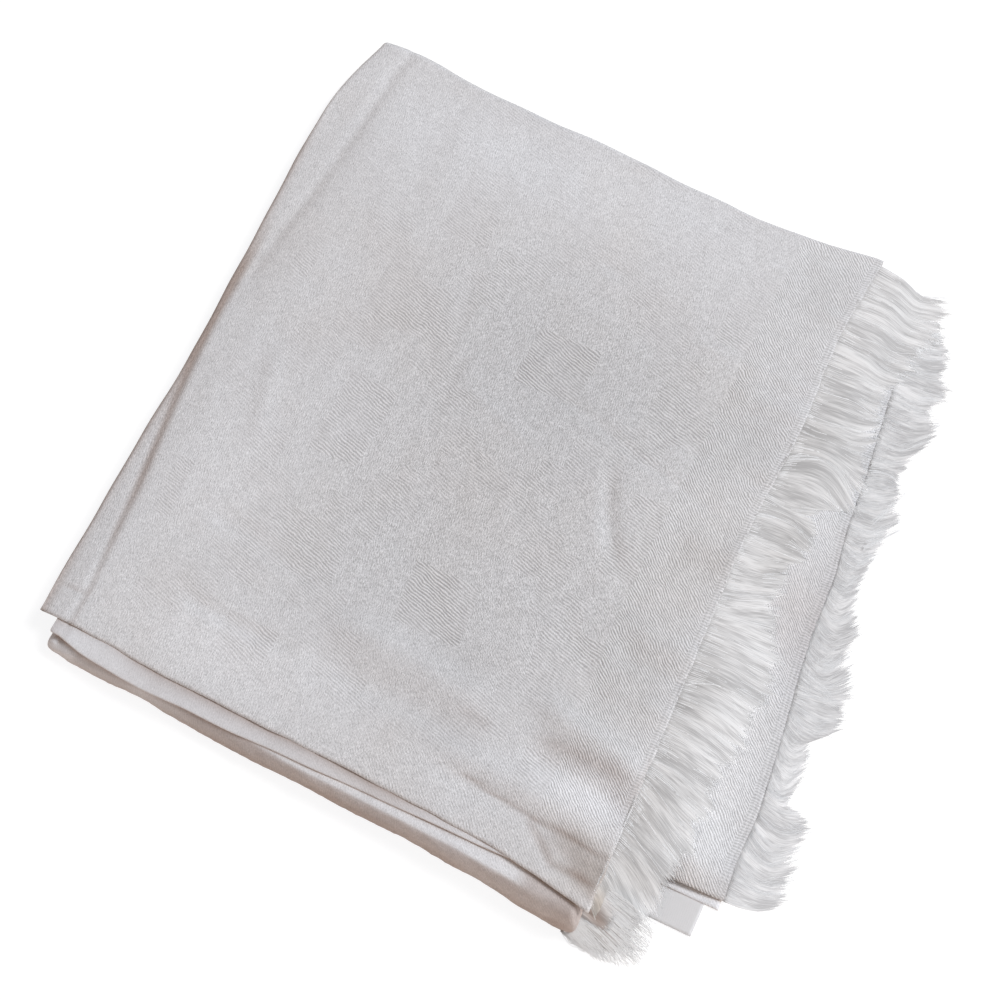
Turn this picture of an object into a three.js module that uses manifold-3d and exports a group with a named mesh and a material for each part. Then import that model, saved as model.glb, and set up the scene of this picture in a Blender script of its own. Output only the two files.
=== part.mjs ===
// A folded ihram cloth: a large woven sheet with self-fringed ends, folded into a flat pad.
// Units are millimetres. X runs along the warp towards the fringed side, Y towards the back
// fold and Z up. The pad is laid out about the middle of its top ply, and the whole group is
// then moved so that the origin is at the bottom centre of its box.
import * as THREE from 'three';
import Module from 'manifold-3d';

const wasm = await Module();
wasm.setup();

// ---- driving dimensions ----
const wall = 2.0;               // one ply of cloth, with the loft of its weave
const seamGap = 0.3;            // space kept between neighbouring pieces
const foldRadius = 4.0;         // outer radius of the top ply's rolled folds
const foldWrap = 150;           // degrees that the top ply wraps round its folds
const padHeight = { backLeft: 17.5, backRight: 20, frontLeft: 19, frontRight: 31 };
const topBundle = 8.9;          // depth of the top ply with what it folds round
const stripDepth = 4.0;         // the second fold: two plies pressed together
const tuckLine = -214;          // Y that the second fold and the roll reach in to, under the top ply
const labelSize = { width: 30, length: 34, thickness: 1.0 };

// plan outline of the top ply, one table for each side
const leftFold = [
  { y: 238, x: -196 }, { y: 222, x: -202 }, { y: 190, x: -208 }, { y: 150, x: -208.5 },
  { y: 60, x: -202 }, { y: -36, x: -195 }, { y: -150, x: -191 }, { y: -226, x: -186 },
];
const backFold = [
  { x: -200, y: 235 }, { x: -176, y: 239 }, { x: -158, y: 233 }, { x: -104, y: 227 },
  { x: 3, y: 220 }, { x: 100, y: 212 }, { x: 150, y: 215 }, { x: 176, y: 219 },
];
const frontEdge = [
  { x: -186, y: -226 }, { x: -140, y: -232 }, { x: -47, y: -232 }, { x: 87, y: -237 },
  { x: 128, y: -240 }, { x: 160, y: -246 }, { x: 181, y: -250 },
];
const fringeLine = [
  { y: 219, x: 176 }, { y: 150, x: 171 }, { y: 80, x: 174 }, { y: 3, x: 171.5 },
  { y: -94, x: 175 }, { y: -180, x: 178.5 }, { y: -250, x: 181 },
];
// front lines of the second fold and of the rolled lower fold
const stripFront = [
  { x: -172, y: -237 }, { x: -128, y: -241 }, { x: 15, y: -240.5 }, { x: 178, y: -238 },
];
const rollFront = [
  { x: -174, y: -243 }, { x: -150, y: -246 }, { x: -107, y: -246 }, { x: -51, y: -250 },
  { x: 54, y: -252 }, { x: 104, y: -255 }, { x: 144, y: -259 }, { x: 177, y: -260 },
];
// second fringed end: where its weave ends, and how far its fringe reaches
const underEnd = [
  { y: 204, base: 211, tip: 236 }, { y: 150, base: 215, tip: 248 }, { y: 60, base: 224, tip: 255 },
  { y: -40, base: 228, tip: 257 }, { y: -107, base: 236, tip: 265 }, { y: -163, base: 242, tip: 275 },
  { y: -206, base: 247, tip: 280 },
];
// reach of the top fringe, measured from the fringe line
const topFringeReach = [
  { y: 216, reach: 38 }, { y: 180, reach: 52 }, { y: 120, reach: 56 }, { y: 40, reach: 50 },
  { y: -100, reach: 48 }, { y: -190, reach: 44 }, { y: -240, reach: 32 },
];
// the hidden plies: each bundle's share of the height and how far its edges lie inside
const hiddenBundles = [
  { low: 0.0, high: 0.34, left: 4.0, back: 4.5, right: 200 },
  { low: 0.34, high: 0.68, left: 6.5, back: 3.0, right: 194 },
  { low: 0.68, high: 1.0, left: 5.0, back: 6.0, right: 188 },
];

// ---- small helpers ----
const rad = THREE.MathUtils.degToRad;
const lerp = THREE.MathUtils.lerp;

// value of a table's column at a place along its key column, eased with Hermite slopes
function along(table, key, place, column) {
  const rows = table[0][key] < table[table.length - 1][key] ? table : [...table].reverse();
  const last = rows.length - 1;
  const at = THREE.MathUtils.clamp(place, rows[0][key], rows[last][key]);
  let k = 0;
  while (k < last - 1 && at > rows[k + 1][key]) k += 1;
  const slope = (a, b) => (rows[b][column] - rows[a][column]) / (rows[b][key] - rows[a][key]);
  const span = rows[k + 1][key] - rows[k][key];
  const before = slope(Math.max(k - 1, 0), k + 1) * span;
  const after = slope(k, Math.min(k + 2, last)) * span;
  const t = (at - rows[k][key]) / span;
  const t2 = t * t;
  const t3 = t2 * t;
  return (2 * t3 - 3 * t2 + 1) * rows[k][column] + (t3 - 2 * t2 + t) * before
    + (3 * t2 - 2 * t3) * rows[k + 1][column] + (t3 - t2) * after;
}

const leftX = (y) => along(leftFold, 'y', y, 'x');
const backY = (x) => along(backFold, 'x', x, 'y');
const frontY = (x) => along(frontEdge, 'x', x, 'y');
const fringeX = (y) => along(fringeLine, 'y', y, 'x');

// height of the pad's top: nearly level, rising to the puffed front corner by the fringe
function topZ(x, y) {
  const s = THREE.MathUtils.clamp((x - leftX(y)) / (fringeX(y) - leftX(y)), 0, 1);
  const t = THREE.MathUtils.clamp((backY(x) - y) / (backY(x) - frontY(x)), 0, 1);
  const back = lerp(padHeight.backLeft, padHeight.backRight, s);
  const front = lerp(padHeight.frontLeft, padHeight.frontRight, s * s);
  return lerp(back, front, t * t * (3 - 2 * t));
}
const hiddenZ = (x, y) => topZ(x, y) - topBundle;

// point of a four-sided plan at fractions s (left to right) and t (back to front)
function planPoint(edges, s, t) {
  let x = lerp(edges.left(0), edges.right(0), s);
  let y = lerp(edges.back(x), edges.front(x), t);
  for (let turn = 0; turn < 8; turn += 1) {
    x = lerp(edges.left(y), edges.right(y), s);
    y = lerp(edges.back(x), edges.front(x), t);
  }
  return new THREE.Vector2(x, y);
}

// closed geometry from points and triangles, turned so that its faces point outwards
function closedGeometry(points, triangles) {
  let volume = 0;
  for (const [a, b, c] of triangles) {
    volume += points[a].dot(new THREE.Vector3().crossVectors(points[b], points[c]));
  }
  const index = triangles.flatMap(([a, b, c]) => (volume > 0 ? [a, b, c] : [a, c, b]));
  const geometry = new THREE.BufferGeometry().setFromPoints(points);
  geometry.setIndex(index);
  geometry.computeVertexNormals();
  return geometry;
}

// a ply: two grids of points with the same rows and columns, closed round the rim
function plyGeometry(outer, inner) {
  const rows = outer.length;
  const columns = outer[0].length;
  const points = [...outer.flat(), ...inner.flat()];
  const id = (side, i, j) => side * rows * columns + i * columns + j;
  const triangles = [];
  const quad = (a, b, c, d) => triangles.push([a, b, c], [a, c, d]);
  for (let i = 0; i < rows - 1; i += 1) {
    for (let j = 0; j < columns - 1; j += 1) {
      quad(id(0, i, j), id(0, i + 1, j), id(0, i + 1, j + 1), id(0, i, j + 1));
      quad(id(1, i, j), id(1, i, j + 1), id(1, i + 1, j + 1), id(1, i + 1, j));
    }
  }
  for (let i = 0; i < rows - 1; i += 1) {
    quad(id(0, i, 0), id(1, i, 0), id(1, i + 1, 0), id(0, i + 1, 0));
    quad(id(0, i, columns - 1), id(0, i + 1, columns - 1), id(1, i + 1, columns - 1), id(1, i, columns - 1));
  }
  for (let j = 0; j < columns - 1; j += 1) {
    quad(id(0, 0, j), id(0, 0, j + 1), id(1, 0, j + 1), id(1, 0, j));
    quad(id(0, rows - 1, j), id(1, rows - 1, j), id(1, rows - 1, j + 1), id(0, rows - 1, j + 1));
  }
  return closedGeometry(points, triangles);
}

// a flat bundle of plies: a plan grid for its top and bottom, and levels of edge loops between
function bundleGeometry(edges, levels, across, down) {
  const steps = (n) => Array.from({ length: n + 1 }, (_, k) => k / n);
  const border = [
    ...steps(across).map((s) => [s, 0]), ...steps(down).slice(1).map((t) => [1, t]),
    ...steps(across).slice(1).map((s) => [1 - s, 1]), ...steps(down).slice(1, -1).map((t) => [0, 1 - t]),
  ];
  const outward = (s, t) => {
    const n = new THREE.Vector2((s === 1) - (s === 0), (t === 0) - (t === 1));
    return n.normalize();
  };
  const points = [];
  const triangles = [];
  const loops = levels.map((level) => border.map(([s, t]) => {
    const p = planPoint(edges, s, t).addScaledVector(outward(s, t), level.out);
    points.push(new THREE.Vector3(p.x, p.y, level.z(p.x, p.y)));
    return points.length - 1;
  }));
  for (let k = 0; k < loops.length - 1; k += 1) {
    loops[k].forEach((a, m) => {
      const n = (m + 1) % border.length;
      triangles.push([a, loops[k + 1][m], loops[k + 1][n]], [a, loops[k + 1][n], loops[k][n]]);
    });
  }
  const cap = (loop, level, flip) => {
    const known = new Map(border.map(([s, t], m) => [`${s.toFixed(5)},${t.toFixed(5)}`, loop[m]]));
    const id = (s, t) => {
      const name = `${s.toFixed(5)},${t.toFixed(5)}`;
      if (!known.has(name)) {
        const p = planPoint(edges, s, t);
        points.push(new THREE.Vector3(p.x, p.y, level.z(p.x, p.y)));
        known.set(name, points.length - 1);
      }
      return known.get(name);
    };
    for (let i = 0; i < across; i += 1) {
      for (let j = 0; j < down; j += 1) {
        const [a, b] = [id(i / across, j / down), id((i + 1) / across, j / down)];
        const [c, d] = [id((i + 1) / across, (j + 1) / down), id(i / across, (j + 1) / down)];
        triangles.push(...(flip ? [[a, b, c], [a, c, d]] : [[a, c, b], [a, d, c]]));
      }
    }
  };
  cap(loops[0], levels[0], true);
  cap(loops[loops.length - 1], levels[levels.length - 1], false);
  return closedGeometry(points, triangles);
}

function toSolid(geometry) {
  const mesh = new wasm.Mesh({
    numProp: 3,
    vertProperties: new Float32Array(geometry.attributes.position.array),
    triVerts: new Uint32Array(geometry.index.array),
  });
  return new wasm.Manifold(mesh);
}

function toGeometry(solid) {
  const mesh = solid.getMesh();
  const geometry = new THREE.BufferGeometry();
  geometry.setAttribute('position', new THREE.BufferAttribute(mesh.vertProperties, 3));
  geometry.setIndex(new THREE.BufferAttribute(mesh.triVerts, 1));
  geometry.computeVertexNormals();
  return geometry;
}

// evenly spaced numbers from one value to another
const spaced = (from, to, n) => Array.from({ length: n + 1 }, (_, k) => lerp(from, to, k / n));

// ---- pieces ----

// the top ply: flat over the pad, rolled under at its left and back folds, free at the front
const topGrid = { across: 12, down: 18 };
const topEdges = {
  left: (y) => leftX(y) + foldRadius,
  right: fringeX,
  back: (x) => backY(x) - foldRadius,
  front: frontY,
};
function topPanel() {
  const rollSteps = 5;
  const { across, down } = topGrid;
  const side = (radius) => spaced(-rollSteps, across, rollSteps + across).map((i) => (
    spaced(-rollSteps, down, rollSteps + down).map((j) => {
      const p = planPoint(topEdges, Math.max(i, 0) / across, Math.max(j, 0) / down);
      const [left, back] = [Math.max(-i, 0), Math.max(-j, 0)];
      const angle = rad(foldWrap * Math.max(left, back) / rollSteps);
      const away = new THREE.Vector2(-left, back).normalize();
      const z = topZ(p.x, p.y) - foldRadius + radius * Math.cos(angle);
      p.addScaledVector(away, radius * Math.sin(angle));
      return new THREE.Vector3(p.x, p.y, z);
    })
  ));
  return plyGeometry(side(foldRadius), side(foldRadius - wall));
}

// the second fold: two plies pressed together, with a round nose, on the rolled lower fold
function secondPanel() {
  const ends = { left: -172, right: 178 };
  const base = hiddenZAtFront;
  const lift = wall + 2 * seamGap;
  const side = (sign) => spaced(ends.left, ends.right, 24).map((x) => {
    const nose = spaced(0, 80, 5).map((turn) => ({
      y: stripDepth / 2 * (1 - Math.sin(rad(turn))), half: Math.max(Math.cos(rad(turn)), 0.2),
    })).reverse();
    const front = along(stripFront, 'x', x, 'y') + 3 * Math.exp(-(x - ends.left) / 3);
    const section = [...nose.map(({ y, half }) => ({ y: front + y, half })), { y: tuckLine, half: 1 }];
    return section.map(({ y, half }) => (
      new THREE.Vector3(x, y, base(x) + lift + stripDepth / 2 * (1 + sign * half))
    ));
  });
  return plyGeometry(side(1), side(-1));
}

// height of the hidden plies under the front edge, where it only changes along X
const hiddenZAtFront = (x) => hiddenZ(x, frontY(x));

// the rolled lower fold: one ply round the hidden plies' front, down to the surface
const rollEnds = { left: -174, right: 178 };
function rollSection(x, radiusExtra) {
  const radius = hiddenZAtFront(x) / 2;
  const middle = along(rollFront, 'x', x, 'y') + wall + seamGap + radius;
  const reach = radius + radiusExtra;
  const lowest = -Math.asin(Math.min(radius / reach, 1));
  return spaced(Math.PI / 2, lowest, 9).map((angle) => ({
    y: middle - reach * Math.cos(angle), z: Math.max(radius + reach * Math.sin(angle), 0),
  }));
}
function lowerFold() {
  const side = (extra) => spaced(rollEnds.left, rollEnds.right, 24).map((x) => {
    const arc = rollSection(x, extra);
    const tail = { y: tuckLine, z: arc[0].z };
    return [tail, ...arc].map(({ y, z }) => new THREE.Vector3(x, y, z));
  });
  return plyGeometry(side(wall + seamGap), side(seamGap));
}

// the hidden plies as one solid: stacked bundles with rounded edges, the core of the lower
// fold in front, and the tongue that the top ply's folds go round
function underLayers() {
  const bundles = hiddenBundles.map(({ low, high, left, back, right }) => {
    const edges = {
      left: (y) => Math.max(leftX(y) + left + 2, -183 + Math.max(-190 - y, 0) * 0.25),
      right: () => right,
      back: (x) => backY(x) - back - 2,
      front: () => -226,
    };
    const overlap = 0.3;
    const levels = spaced(low === 0 ? -60 : -80, 80, 4).map((angle) => {
      const height = (Math.sin(rad(angle)) + 1) / 2;
      const share = low === 0 && angle === -60 ? 0 : lerp(low, high, height);
      const rise = angle === 80 && high < 1 ? overlap : 0;
      return { out: 2 * Math.cos(rad(angle)), z: (x, y) => share * hiddenZ(x, y) + rise };
    });
    return toSolid(bundleGeometry(edges, levels, 8, 10));
  });

  const core = spaced(rollEnds.left + 0.5, rollEnds.right - 0.5, 24).map((x) => {
    const arc = rollSection(x, 0);
    return arc.map(({ y, z }) => new THREE.Vector3(x, y, z));
  });
  const coreBack = core.map((ring) => {
    const x = ring[0].x;
    return ring.map(({ z }) => new THREE.Vector3(x, -205, z));
  });
  const roll = toSolid(plyGeometry(core, coreBack));

  const tongueRadius = foldRadius - wall - seamGap;
  const tongueEdges = { ...topEdges, right: (y) => fringeX(y) - 6, front: () => tuckLine + 4 };
  const tongueLevels = [
    { out: -0.5, z: (x, y) => hiddenZ(x, y) - 0.5 },
    { out: -0.5, z: (x, y) => topZ(x, y) - foldRadius - tongueRadius },
    ...spaced(-75, 90, 5).map((angle) => ({
      out: tongueRadius * Math.cos(rad(angle)),
      z: (x, y) => topZ(x, y) - foldRadius + tongueRadius * Math.sin(rad(angle)),
    })),
  ];
  const tongue = toSolid(bundleGeometry(tongueEdges, tongueLevels, topGrid.across, topGrid.down));
  return toGeometry([...bundles, roll, tongue].reduce((sum, piece) => sum.add(piece)));
}

// top of the second fringed end: flat on the hidden plies, then down to the surface
const underSpan = { front: -212, back: 204 };
const underStart = (y) => fringeX(y) - 3.5;
function underZ(x, y) {
  const rest = 4.0;
  const start = hiddenZ(underStart(y), y) + wall + seamGap + 0.4;
  const fall = THREE.MathUtils.smoothstep(x, 188, along(underEnd, 'y', y, 'base') - 3);
  return lerp(start, rest, fall);
}
function underEndPanel() {
  const side = (depth) => spaced(underSpan.front, underSpan.back, 18).map((y) => (
    spaced(0, 1, 10).map((share) => {
      const x = lerp(underStart(y), along(underEnd, 'y', y, 'base'), share);
      return new THREE.Vector3(x, y, underZ(x, y) - depth);
    })
  ));
  return plyGeometry(side(0), side(wall));
}

// a lower ply whose corner shows below the second fringed end
function lowerEndPanel() {
  const thickness = 1.4;
  const side = (depth) => spaced(-215, -150, 5).map((y) => (
    spaced(206, along(underEnd, 'y', y, 'base') - 2.5, 8).map((x) => {
      const top = underZ(x, Math.max(y, underSpan.front)) - wall - seamGap;
      return new THREE.Vector3(x, y, Math.max(top - depth, 0.1 + (thickness - depth)));
    })
  ));
  return plyGeometry(side(0), side(thickness));
}

// fringe of the top ply: falls from the fringe line onto the second fringed end
function topFringe() {
  const thickness = 3.0;
  const rows = [...spaced(-244, -215, 3), ...spaced(underSpan.front, 214, 20)];
  const side = (low) => rows.map((y) => (
    spaced(0, 1, 8).map((share) => {
      const start = fringeX(y) + seamGap;
      const x = lerp(start, start + along(topFringeReach, 'y', y, 'reach'), share);
      const past = THREE.MathUtils.clamp((underSpan.front - y) / 32, 0, 1);
      const under = underZ(Math.min(x, along(underEnd, 'y', y, 'base')), Math.max(y, underSpan.front));
      const below = lerp(under, 13, past);
      const fall = THREE.MathUtils.smoothstep(share, 0, 0.6);
      const top = lerp(topZ(fringeX(y), y), below + thickness + 1.2, fall);
      const depth = lerp(wall, thickness, fall);
      return new THREE.Vector3(x, y, top - low * depth);
    })
  ));
  return plyGeometry(side(0), side(1));
}

// fringe of the second end: lies on the surface
function underFringe() {
  const side = (low) => spaced(-206, 204, 18).map((y) => (
    spaced(0, 1, 5).map((share) => {
      const start = along(underEnd, 'y', y, 'base') + seamGap;
      const x = lerp(start, along(underEnd, 'y', y, 'tip'), share);
      return new THREE.Vector3(x, y, low ? 0 : lerp(4.0, 2.5, share));
    })
  ));
  return plyGeometry(side(false), side(true));
}

// fringe of the lower plies at the front corner: points forward and out
function cornerFringe() {
  const side = (low) => spaced(0, 1, 6).map((across) => (
    spaced(0, 1, 6).map((share) => {
      const start = new THREE.Vector2(178.5, lerp(-258, -233, across));
      const tip = new THREE.Vector2(lerp(203, 216, across), lerp(-262, -233, across));
      const p = start.lerp(tip, share);
      return new THREE.Vector3(p.x, p.y, low ? 0.2 : lerp(11.5, 4, share));
    })
  ));
  return plyGeometry(side(false), side(true));
}

function blankLabel() {
  const { width, length, thickness } = labelSize;
  const geometry = new THREE.BoxGeometry(width, length, thickness);
  return geometry.translate(236 - width / 2, -230.5 + length / 2, thickness / 2 + 0.1);
}

// ---- materials and assembly ----
const wovenCloth = () => new THREE.MeshStandardMaterial({ color: 0xd6d5d8, roughness: 0.9, metalness: 0 });
const looseYarn = () => new THREE.MeshStandardMaterial({ color: 0xe6e6e8, roughness: 0.85, metalness: 0 });
const labelTape = () => new THREE.MeshStandardMaterial({ color: 0xd2d2d4, roughness: 0.6, metalness: 0 });

const pieces = [
  { name: 'under_layers', geometry: underLayers(), material: wovenCloth() },
  { name: 'top_panel', geometry: topPanel(), material: wovenCloth() },
  { name: 'second_panel', geometry: secondPanel(), material: wovenCloth() },
  { name: 'lower_fold', geometry: lowerFold(), material: wovenCloth() },
  { name: 'under_end_panel', geometry: underEndPanel(), material: wovenCloth() },
  { name: 'lower_end_panel', geometry: lowerEndPanel(), material: wovenCloth() },
  { name: 'top_fringe', geometry: topFringe(), material: looseYarn() },
  { name: 'under_fringe', geometry: underFringe(), material: looseYarn() },
  { name: 'corner_fringe', geometry: cornerFringe(), material: looseYarn() },
  { name: 'label', geometry: blankLabel(), material: labelTape() },
];

const group = new THREE.Group();
for (const { name, geometry, material } of pieces) {
  const mesh = new THREE.Mesh(geometry, material);
  mesh.name = name;
  group.add(mesh);
}
const box = new THREE.Box3().setFromObject(group);
group.position.set(-(box.min.x + box.max.x) / 2, -(box.min.y + box.max.y) / 2, -box.min.z);

export default group;
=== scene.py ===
import math

import bmesh
import bpy
import numpy as np
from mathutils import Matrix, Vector


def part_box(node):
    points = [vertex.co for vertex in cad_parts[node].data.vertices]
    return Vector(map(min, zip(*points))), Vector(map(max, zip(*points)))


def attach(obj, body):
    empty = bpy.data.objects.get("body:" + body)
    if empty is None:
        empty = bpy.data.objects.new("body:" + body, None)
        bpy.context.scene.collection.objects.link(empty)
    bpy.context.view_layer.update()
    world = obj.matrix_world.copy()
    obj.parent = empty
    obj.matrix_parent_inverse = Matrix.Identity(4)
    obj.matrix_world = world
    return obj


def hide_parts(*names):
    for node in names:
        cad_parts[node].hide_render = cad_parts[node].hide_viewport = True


# A folded ihram cloth. Every size is in metres, and plan places are measured from the middle of
# the pad's top ply: X towards the fringed side, Y towards the back fold, Z up.
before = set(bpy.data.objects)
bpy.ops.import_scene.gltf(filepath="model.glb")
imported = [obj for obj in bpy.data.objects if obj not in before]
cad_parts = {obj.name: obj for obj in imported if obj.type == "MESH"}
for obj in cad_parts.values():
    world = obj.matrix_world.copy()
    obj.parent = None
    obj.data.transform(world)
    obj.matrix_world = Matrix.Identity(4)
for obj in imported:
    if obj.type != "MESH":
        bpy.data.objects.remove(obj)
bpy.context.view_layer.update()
labelLow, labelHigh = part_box("label")
middleFromLabel = (-0.236, 0.2305)
padMiddle = np.array([labelHigh.x + middleFromLabel[0], labelLow.y + middleFromLabel[1], 0.0])
dice = np.random.default_rng(41)


# measuring the frame

def cadFaces(node):
    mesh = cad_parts[node].data
    mesh.calc_loop_triangles()
    corners = np.array([vertex.co for vertex in mesh.vertices]) - padMiddle
    return corners[np.array([list(face.vertices) for face in mesh.loop_triangles])]


def spanAt(faces, axis, place):
    # lowest and highest place on the other plan axis, where the piece is cut across
    ends = np.roll(faces, -1, axis=1)
    before = faces[..., axis] - place
    after = ends[..., axis] - place
    crossed = before * after < 0
    share = (before / (before - after + 1e-30))[crossed]
    start, end = faces[..., 1 - axis][crossed], ends[..., 1 - axis][crossed]
    cut = start + share * (end - start)
    return cut.min(), cut.max()


def heightAt(faces, x, y):
    # height of the piece's highest face over a plan point
    a, b, c = faces[:, 0], faces[:, 1], faces[:, 2]
    det = (b[:, 0] - a[:, 0]) * (c[:, 1] - a[:, 1]) - (c[:, 0] - a[:, 0]) * (b[:, 1] - a[:, 1])
    det = np.where(np.abs(det) < 1e-12, np.inf, det)
    s = ((x - a[:, 0]) * (c[:, 1] - a[:, 1]) - (c[:, 0] - a[:, 0]) * (y - a[:, 1])) / det
    t = ((b[:, 0] - a[:, 0]) * (y - a[:, 1]) - (x - a[:, 0]) * (b[:, 1] - a[:, 1])) / det
    inside = (s >= -1e-6) & (t >= -1e-6) & (s + t <= 1 + 1e-6) & np.isfinite(det)
    return (a[:, 2] + s * (b[:, 2] - a[:, 2]) + t * (c[:, 2] - a[:, 2]))[inside].max()


def smoothCurve(keys, values):
    # an eased curve through a row of values, for a whole array of places at once
    keys, values = np.array(keys, float), np.array(values, float)
    slopes = np.gradient(values, keys)

    def valueAt(place):
        place = np.clip(place, keys[0], keys[-1])
        k = np.clip(np.searchsorted(keys, place) - 1, 0, len(keys) - 2)
        span = keys[k + 1] - keys[k]
        t = (place - keys[k]) / span
        return ((2 * t**3 - 3 * t**2 + 1) * values[k] + (t**3 - 2 * t**2 + t) * span * slopes[k]
                + (3 * t**2 - 2 * t**3) * values[k + 1] + (t**3 - t**2) * span * slopes[k + 1])

    return valueAt


def edgeOf(faces, axis, low, high, side, stations=19):
    places = np.linspace(low, high, stations)
    return smoothCurve(places, [spanAt(faces, axis, place)[side] for place in places])


def smoothStep(low, high, value):
    t = np.clip((value - low) / (high - low), 0, 1)
    return t * t * (3 - 2 * t)


def mix(a, b, share):
    return a + (b - a) * share


def columnsOf(*values):
    return np.stack(values, axis=1)


def tableOf(columns, *rows):
    # rows of values under named columns; a row may leave out its last ones
    return [dict(zip(columns, row)) for row in rows]


topFaces = cadFaces("top_panel")
leftEdge = edgeOf(topFaces, 1, -0.222, 0.233, 0)
fringeEdge = edgeOf(topFaces, 1, -0.246, 0.214, 1)
backEdge = edgeOf(topFaces, 0, -0.197, 0.170, 1)
frontEdge = edgeOf(topFaces, 0, -0.184, 0.178, 0)
cornerHeight = {
    "backLeft": heightAt(topFaces, -0.190, 0.222), "backRight": heightAt(topFaces, 0.168, 0.205),
    "frontLeft": heightAt(topFaces, -0.178, -0.222), "frontRight": heightAt(topFaces, 0.172, -0.238),
}
print("frame read, corner heights", {name: round(float(z), 4) for name, z in cornerHeight.items()})


# camera and lights

cameraSettings = {"azimuth": 26, "elevation": 65, "distance": 1.09, "lens": 64.8,
                  "lookAt": (0.028, -0.045, 0.022)}
lightSettings = {
    "key": {"place": (3.0, 2.6, 4.5), "size": 2.6, "power": 339, "colour": (0.985, 0.995, 1.0)},
    # a small pale card low on the right, which lifts the front corner
    "card": {"place": (0.68, -0.42, 0.14), "size": 0.25, "power": 1.3, "colour": (1.0, 0.985, 0.97)},
}


def addObject(name, data):
    made = bpy.data.objects.new(name, data)
    bpy.context.scene.collection.objects.link(made)
    return made


def makeCamera(settings):
    data = bpy.data.cameras.new("camera")
    data.sensor_width = 36
    data.lens = settings["lens"]
    camera = addObject("camera", data)
    turn, rise = math.radians(settings["azimuth"]), math.radians(settings["elevation"])
    back = Vector((math.sin(turn) * math.cos(rise), -math.cos(turn) * math.cos(rise), math.sin(rise)))
    target = Vector(padMiddle) + Vector(settings["lookAt"])
    camera.location = target + back * settings["distance"]
    camera.rotation_mode = "QUATERNION"
    camera.rotation_quaternion = back.to_track_quat("Z", "Y")
    bpy.context.scene.camera = camera


def makeLight(name, settings):
    data = bpy.data.lights.new(name, "AREA")
    data.size = settings["size"]
    data.energy = settings["power"]
    data.color = settings["colour"]
    light = addObject(name, data)
    light.location = settings["place"]
    light.rotation_mode = "QUATERNION"
    light.rotation_quaternion = Vector(settings["place"]).to_track_quat("Z", "Y")


makeCamera(cameraSettings)
for lightName, settings in lightSettings.items():
    makeLight(lightName, settings)
bpy.context.scene.view_settings.view_transform = "Standard"


# node helpers

def feed(tree, socket, value):
    if isinstance(value, bpy.types.NodeSocket):
        tree.links.new(value, socket)
    else:
        socket.default_value = value


def addNode(tree, kind, inputs=None, **settings):
    node = tree.nodes.new(kind)
    for name, value in settings.items():
        setattr(node, name, value)
    for name, value in (inputs or {}).items():
        feed(tree, node.inputs[name], value)
    return node


def calc(tree, operation, *values):
    node = addNode(tree, "ShaderNodeMath", operation=operation)
    for socket, value in zip(node.inputs, values):
        feed(tree, socket, value)
    return node.outputs[0]


def times(tree, a, b):
    return calc(tree, "MULTIPLY", a, b)


def plus(tree, a, b):
    return calc(tree, "ADD", a, b)


def minus(tree, a, b):
    return calc(tree, "SUBTRACT", a, b)


def scaled(tree, value, factor, shift):
    return calc(tree, "MULTIPLY_ADD", value, factor, shift)


def ramp(tree, value, low, high, start=0.0, end=1.0):
    node = addNode(tree, "ShaderNodeMapRange", {
        "Value": value, "From Min": low, "From Max": high, "To Min": start, "To Max": end},
        interpolation_type="SMOOTHSTEP")
    return node.outputs["Result"]


def blendValues(tree, share, a, b):
    node = addNode(tree, "ShaderNodeMix", data_type="FLOAT")
    for socket, value in zip((node.inputs[0], node.inputs[2], node.inputs[3]), (share, a, b)):
        feed(tree, socket, value)
    return node.outputs[0]


def blendColours(tree, share, a, b, way="MIX"):
    node = addNode(tree, "ShaderNodeMix", data_type="RGBA", blend_type=way)
    for socket, value in zip((node.inputs[0], node.inputs[6], node.inputs[7]), (share, a, b)):
        feed(tree, socket, value)
    return node.outputs[2]


def tinted(tree, share, colour, tint):
    # a colour times a tint, as far as the share goes
    return blendColours(tree, share, colour, blendColours(tree, 1.0, colour, tint, "MULTIPLY"))


def dot(tree, a, b):
    return addNode(tree, "ShaderNodeVectorMath", {0: a, 1: b}, operation="DOT_PRODUCT").outputs["Value"]


def split(tree, vector):
    return addNode(tree, "ShaderNodeSeparateXYZ", {"Vector": vector}).outputs


def noise(tree, place, scale, detail=2.0, stretch=None):
    if stretch is not None:
        place = addNode(tree, "ShaderNodeMapping", {"Vector": place, "Scale": stretch}).outputs[0]
    node = addNode(tree, "ShaderNodeTexNoise", {"Vector": place, "Scale": scale, "Detail": detail})
    return node.outputs[0]


def evenNoise(tree, place, scale, detail, gain, stretch=None):
    return scaled(tree, noise(tree, place, scale, detail, stretch), gain, -gain / 2)


def newGroup(name, inputs, outputs):
    tree = bpy.data.node_groups.new(name, "ShaderNodeTree")
    for label, kind in inputs.items():
        tree.interface.new_socket(name=label, in_out="INPUT", socket_type=kind)
    for label, kind in outputs.items():
        tree.interface.new_socket(name=label, in_out="OUTPUT", socket_type=kind)
    return tree, tree.nodes.new("NodeGroupInput").outputs, tree.nodes.new("NodeGroupOutput").inputs


def useGroup(tree, group, inputs):
    node = addNode(tree, "ShaderNodeGroup", node_tree=group)
    for name, value in inputs.items():
        feed(tree, node.inputs[name], value)
    return node.outputs


# weave

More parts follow.
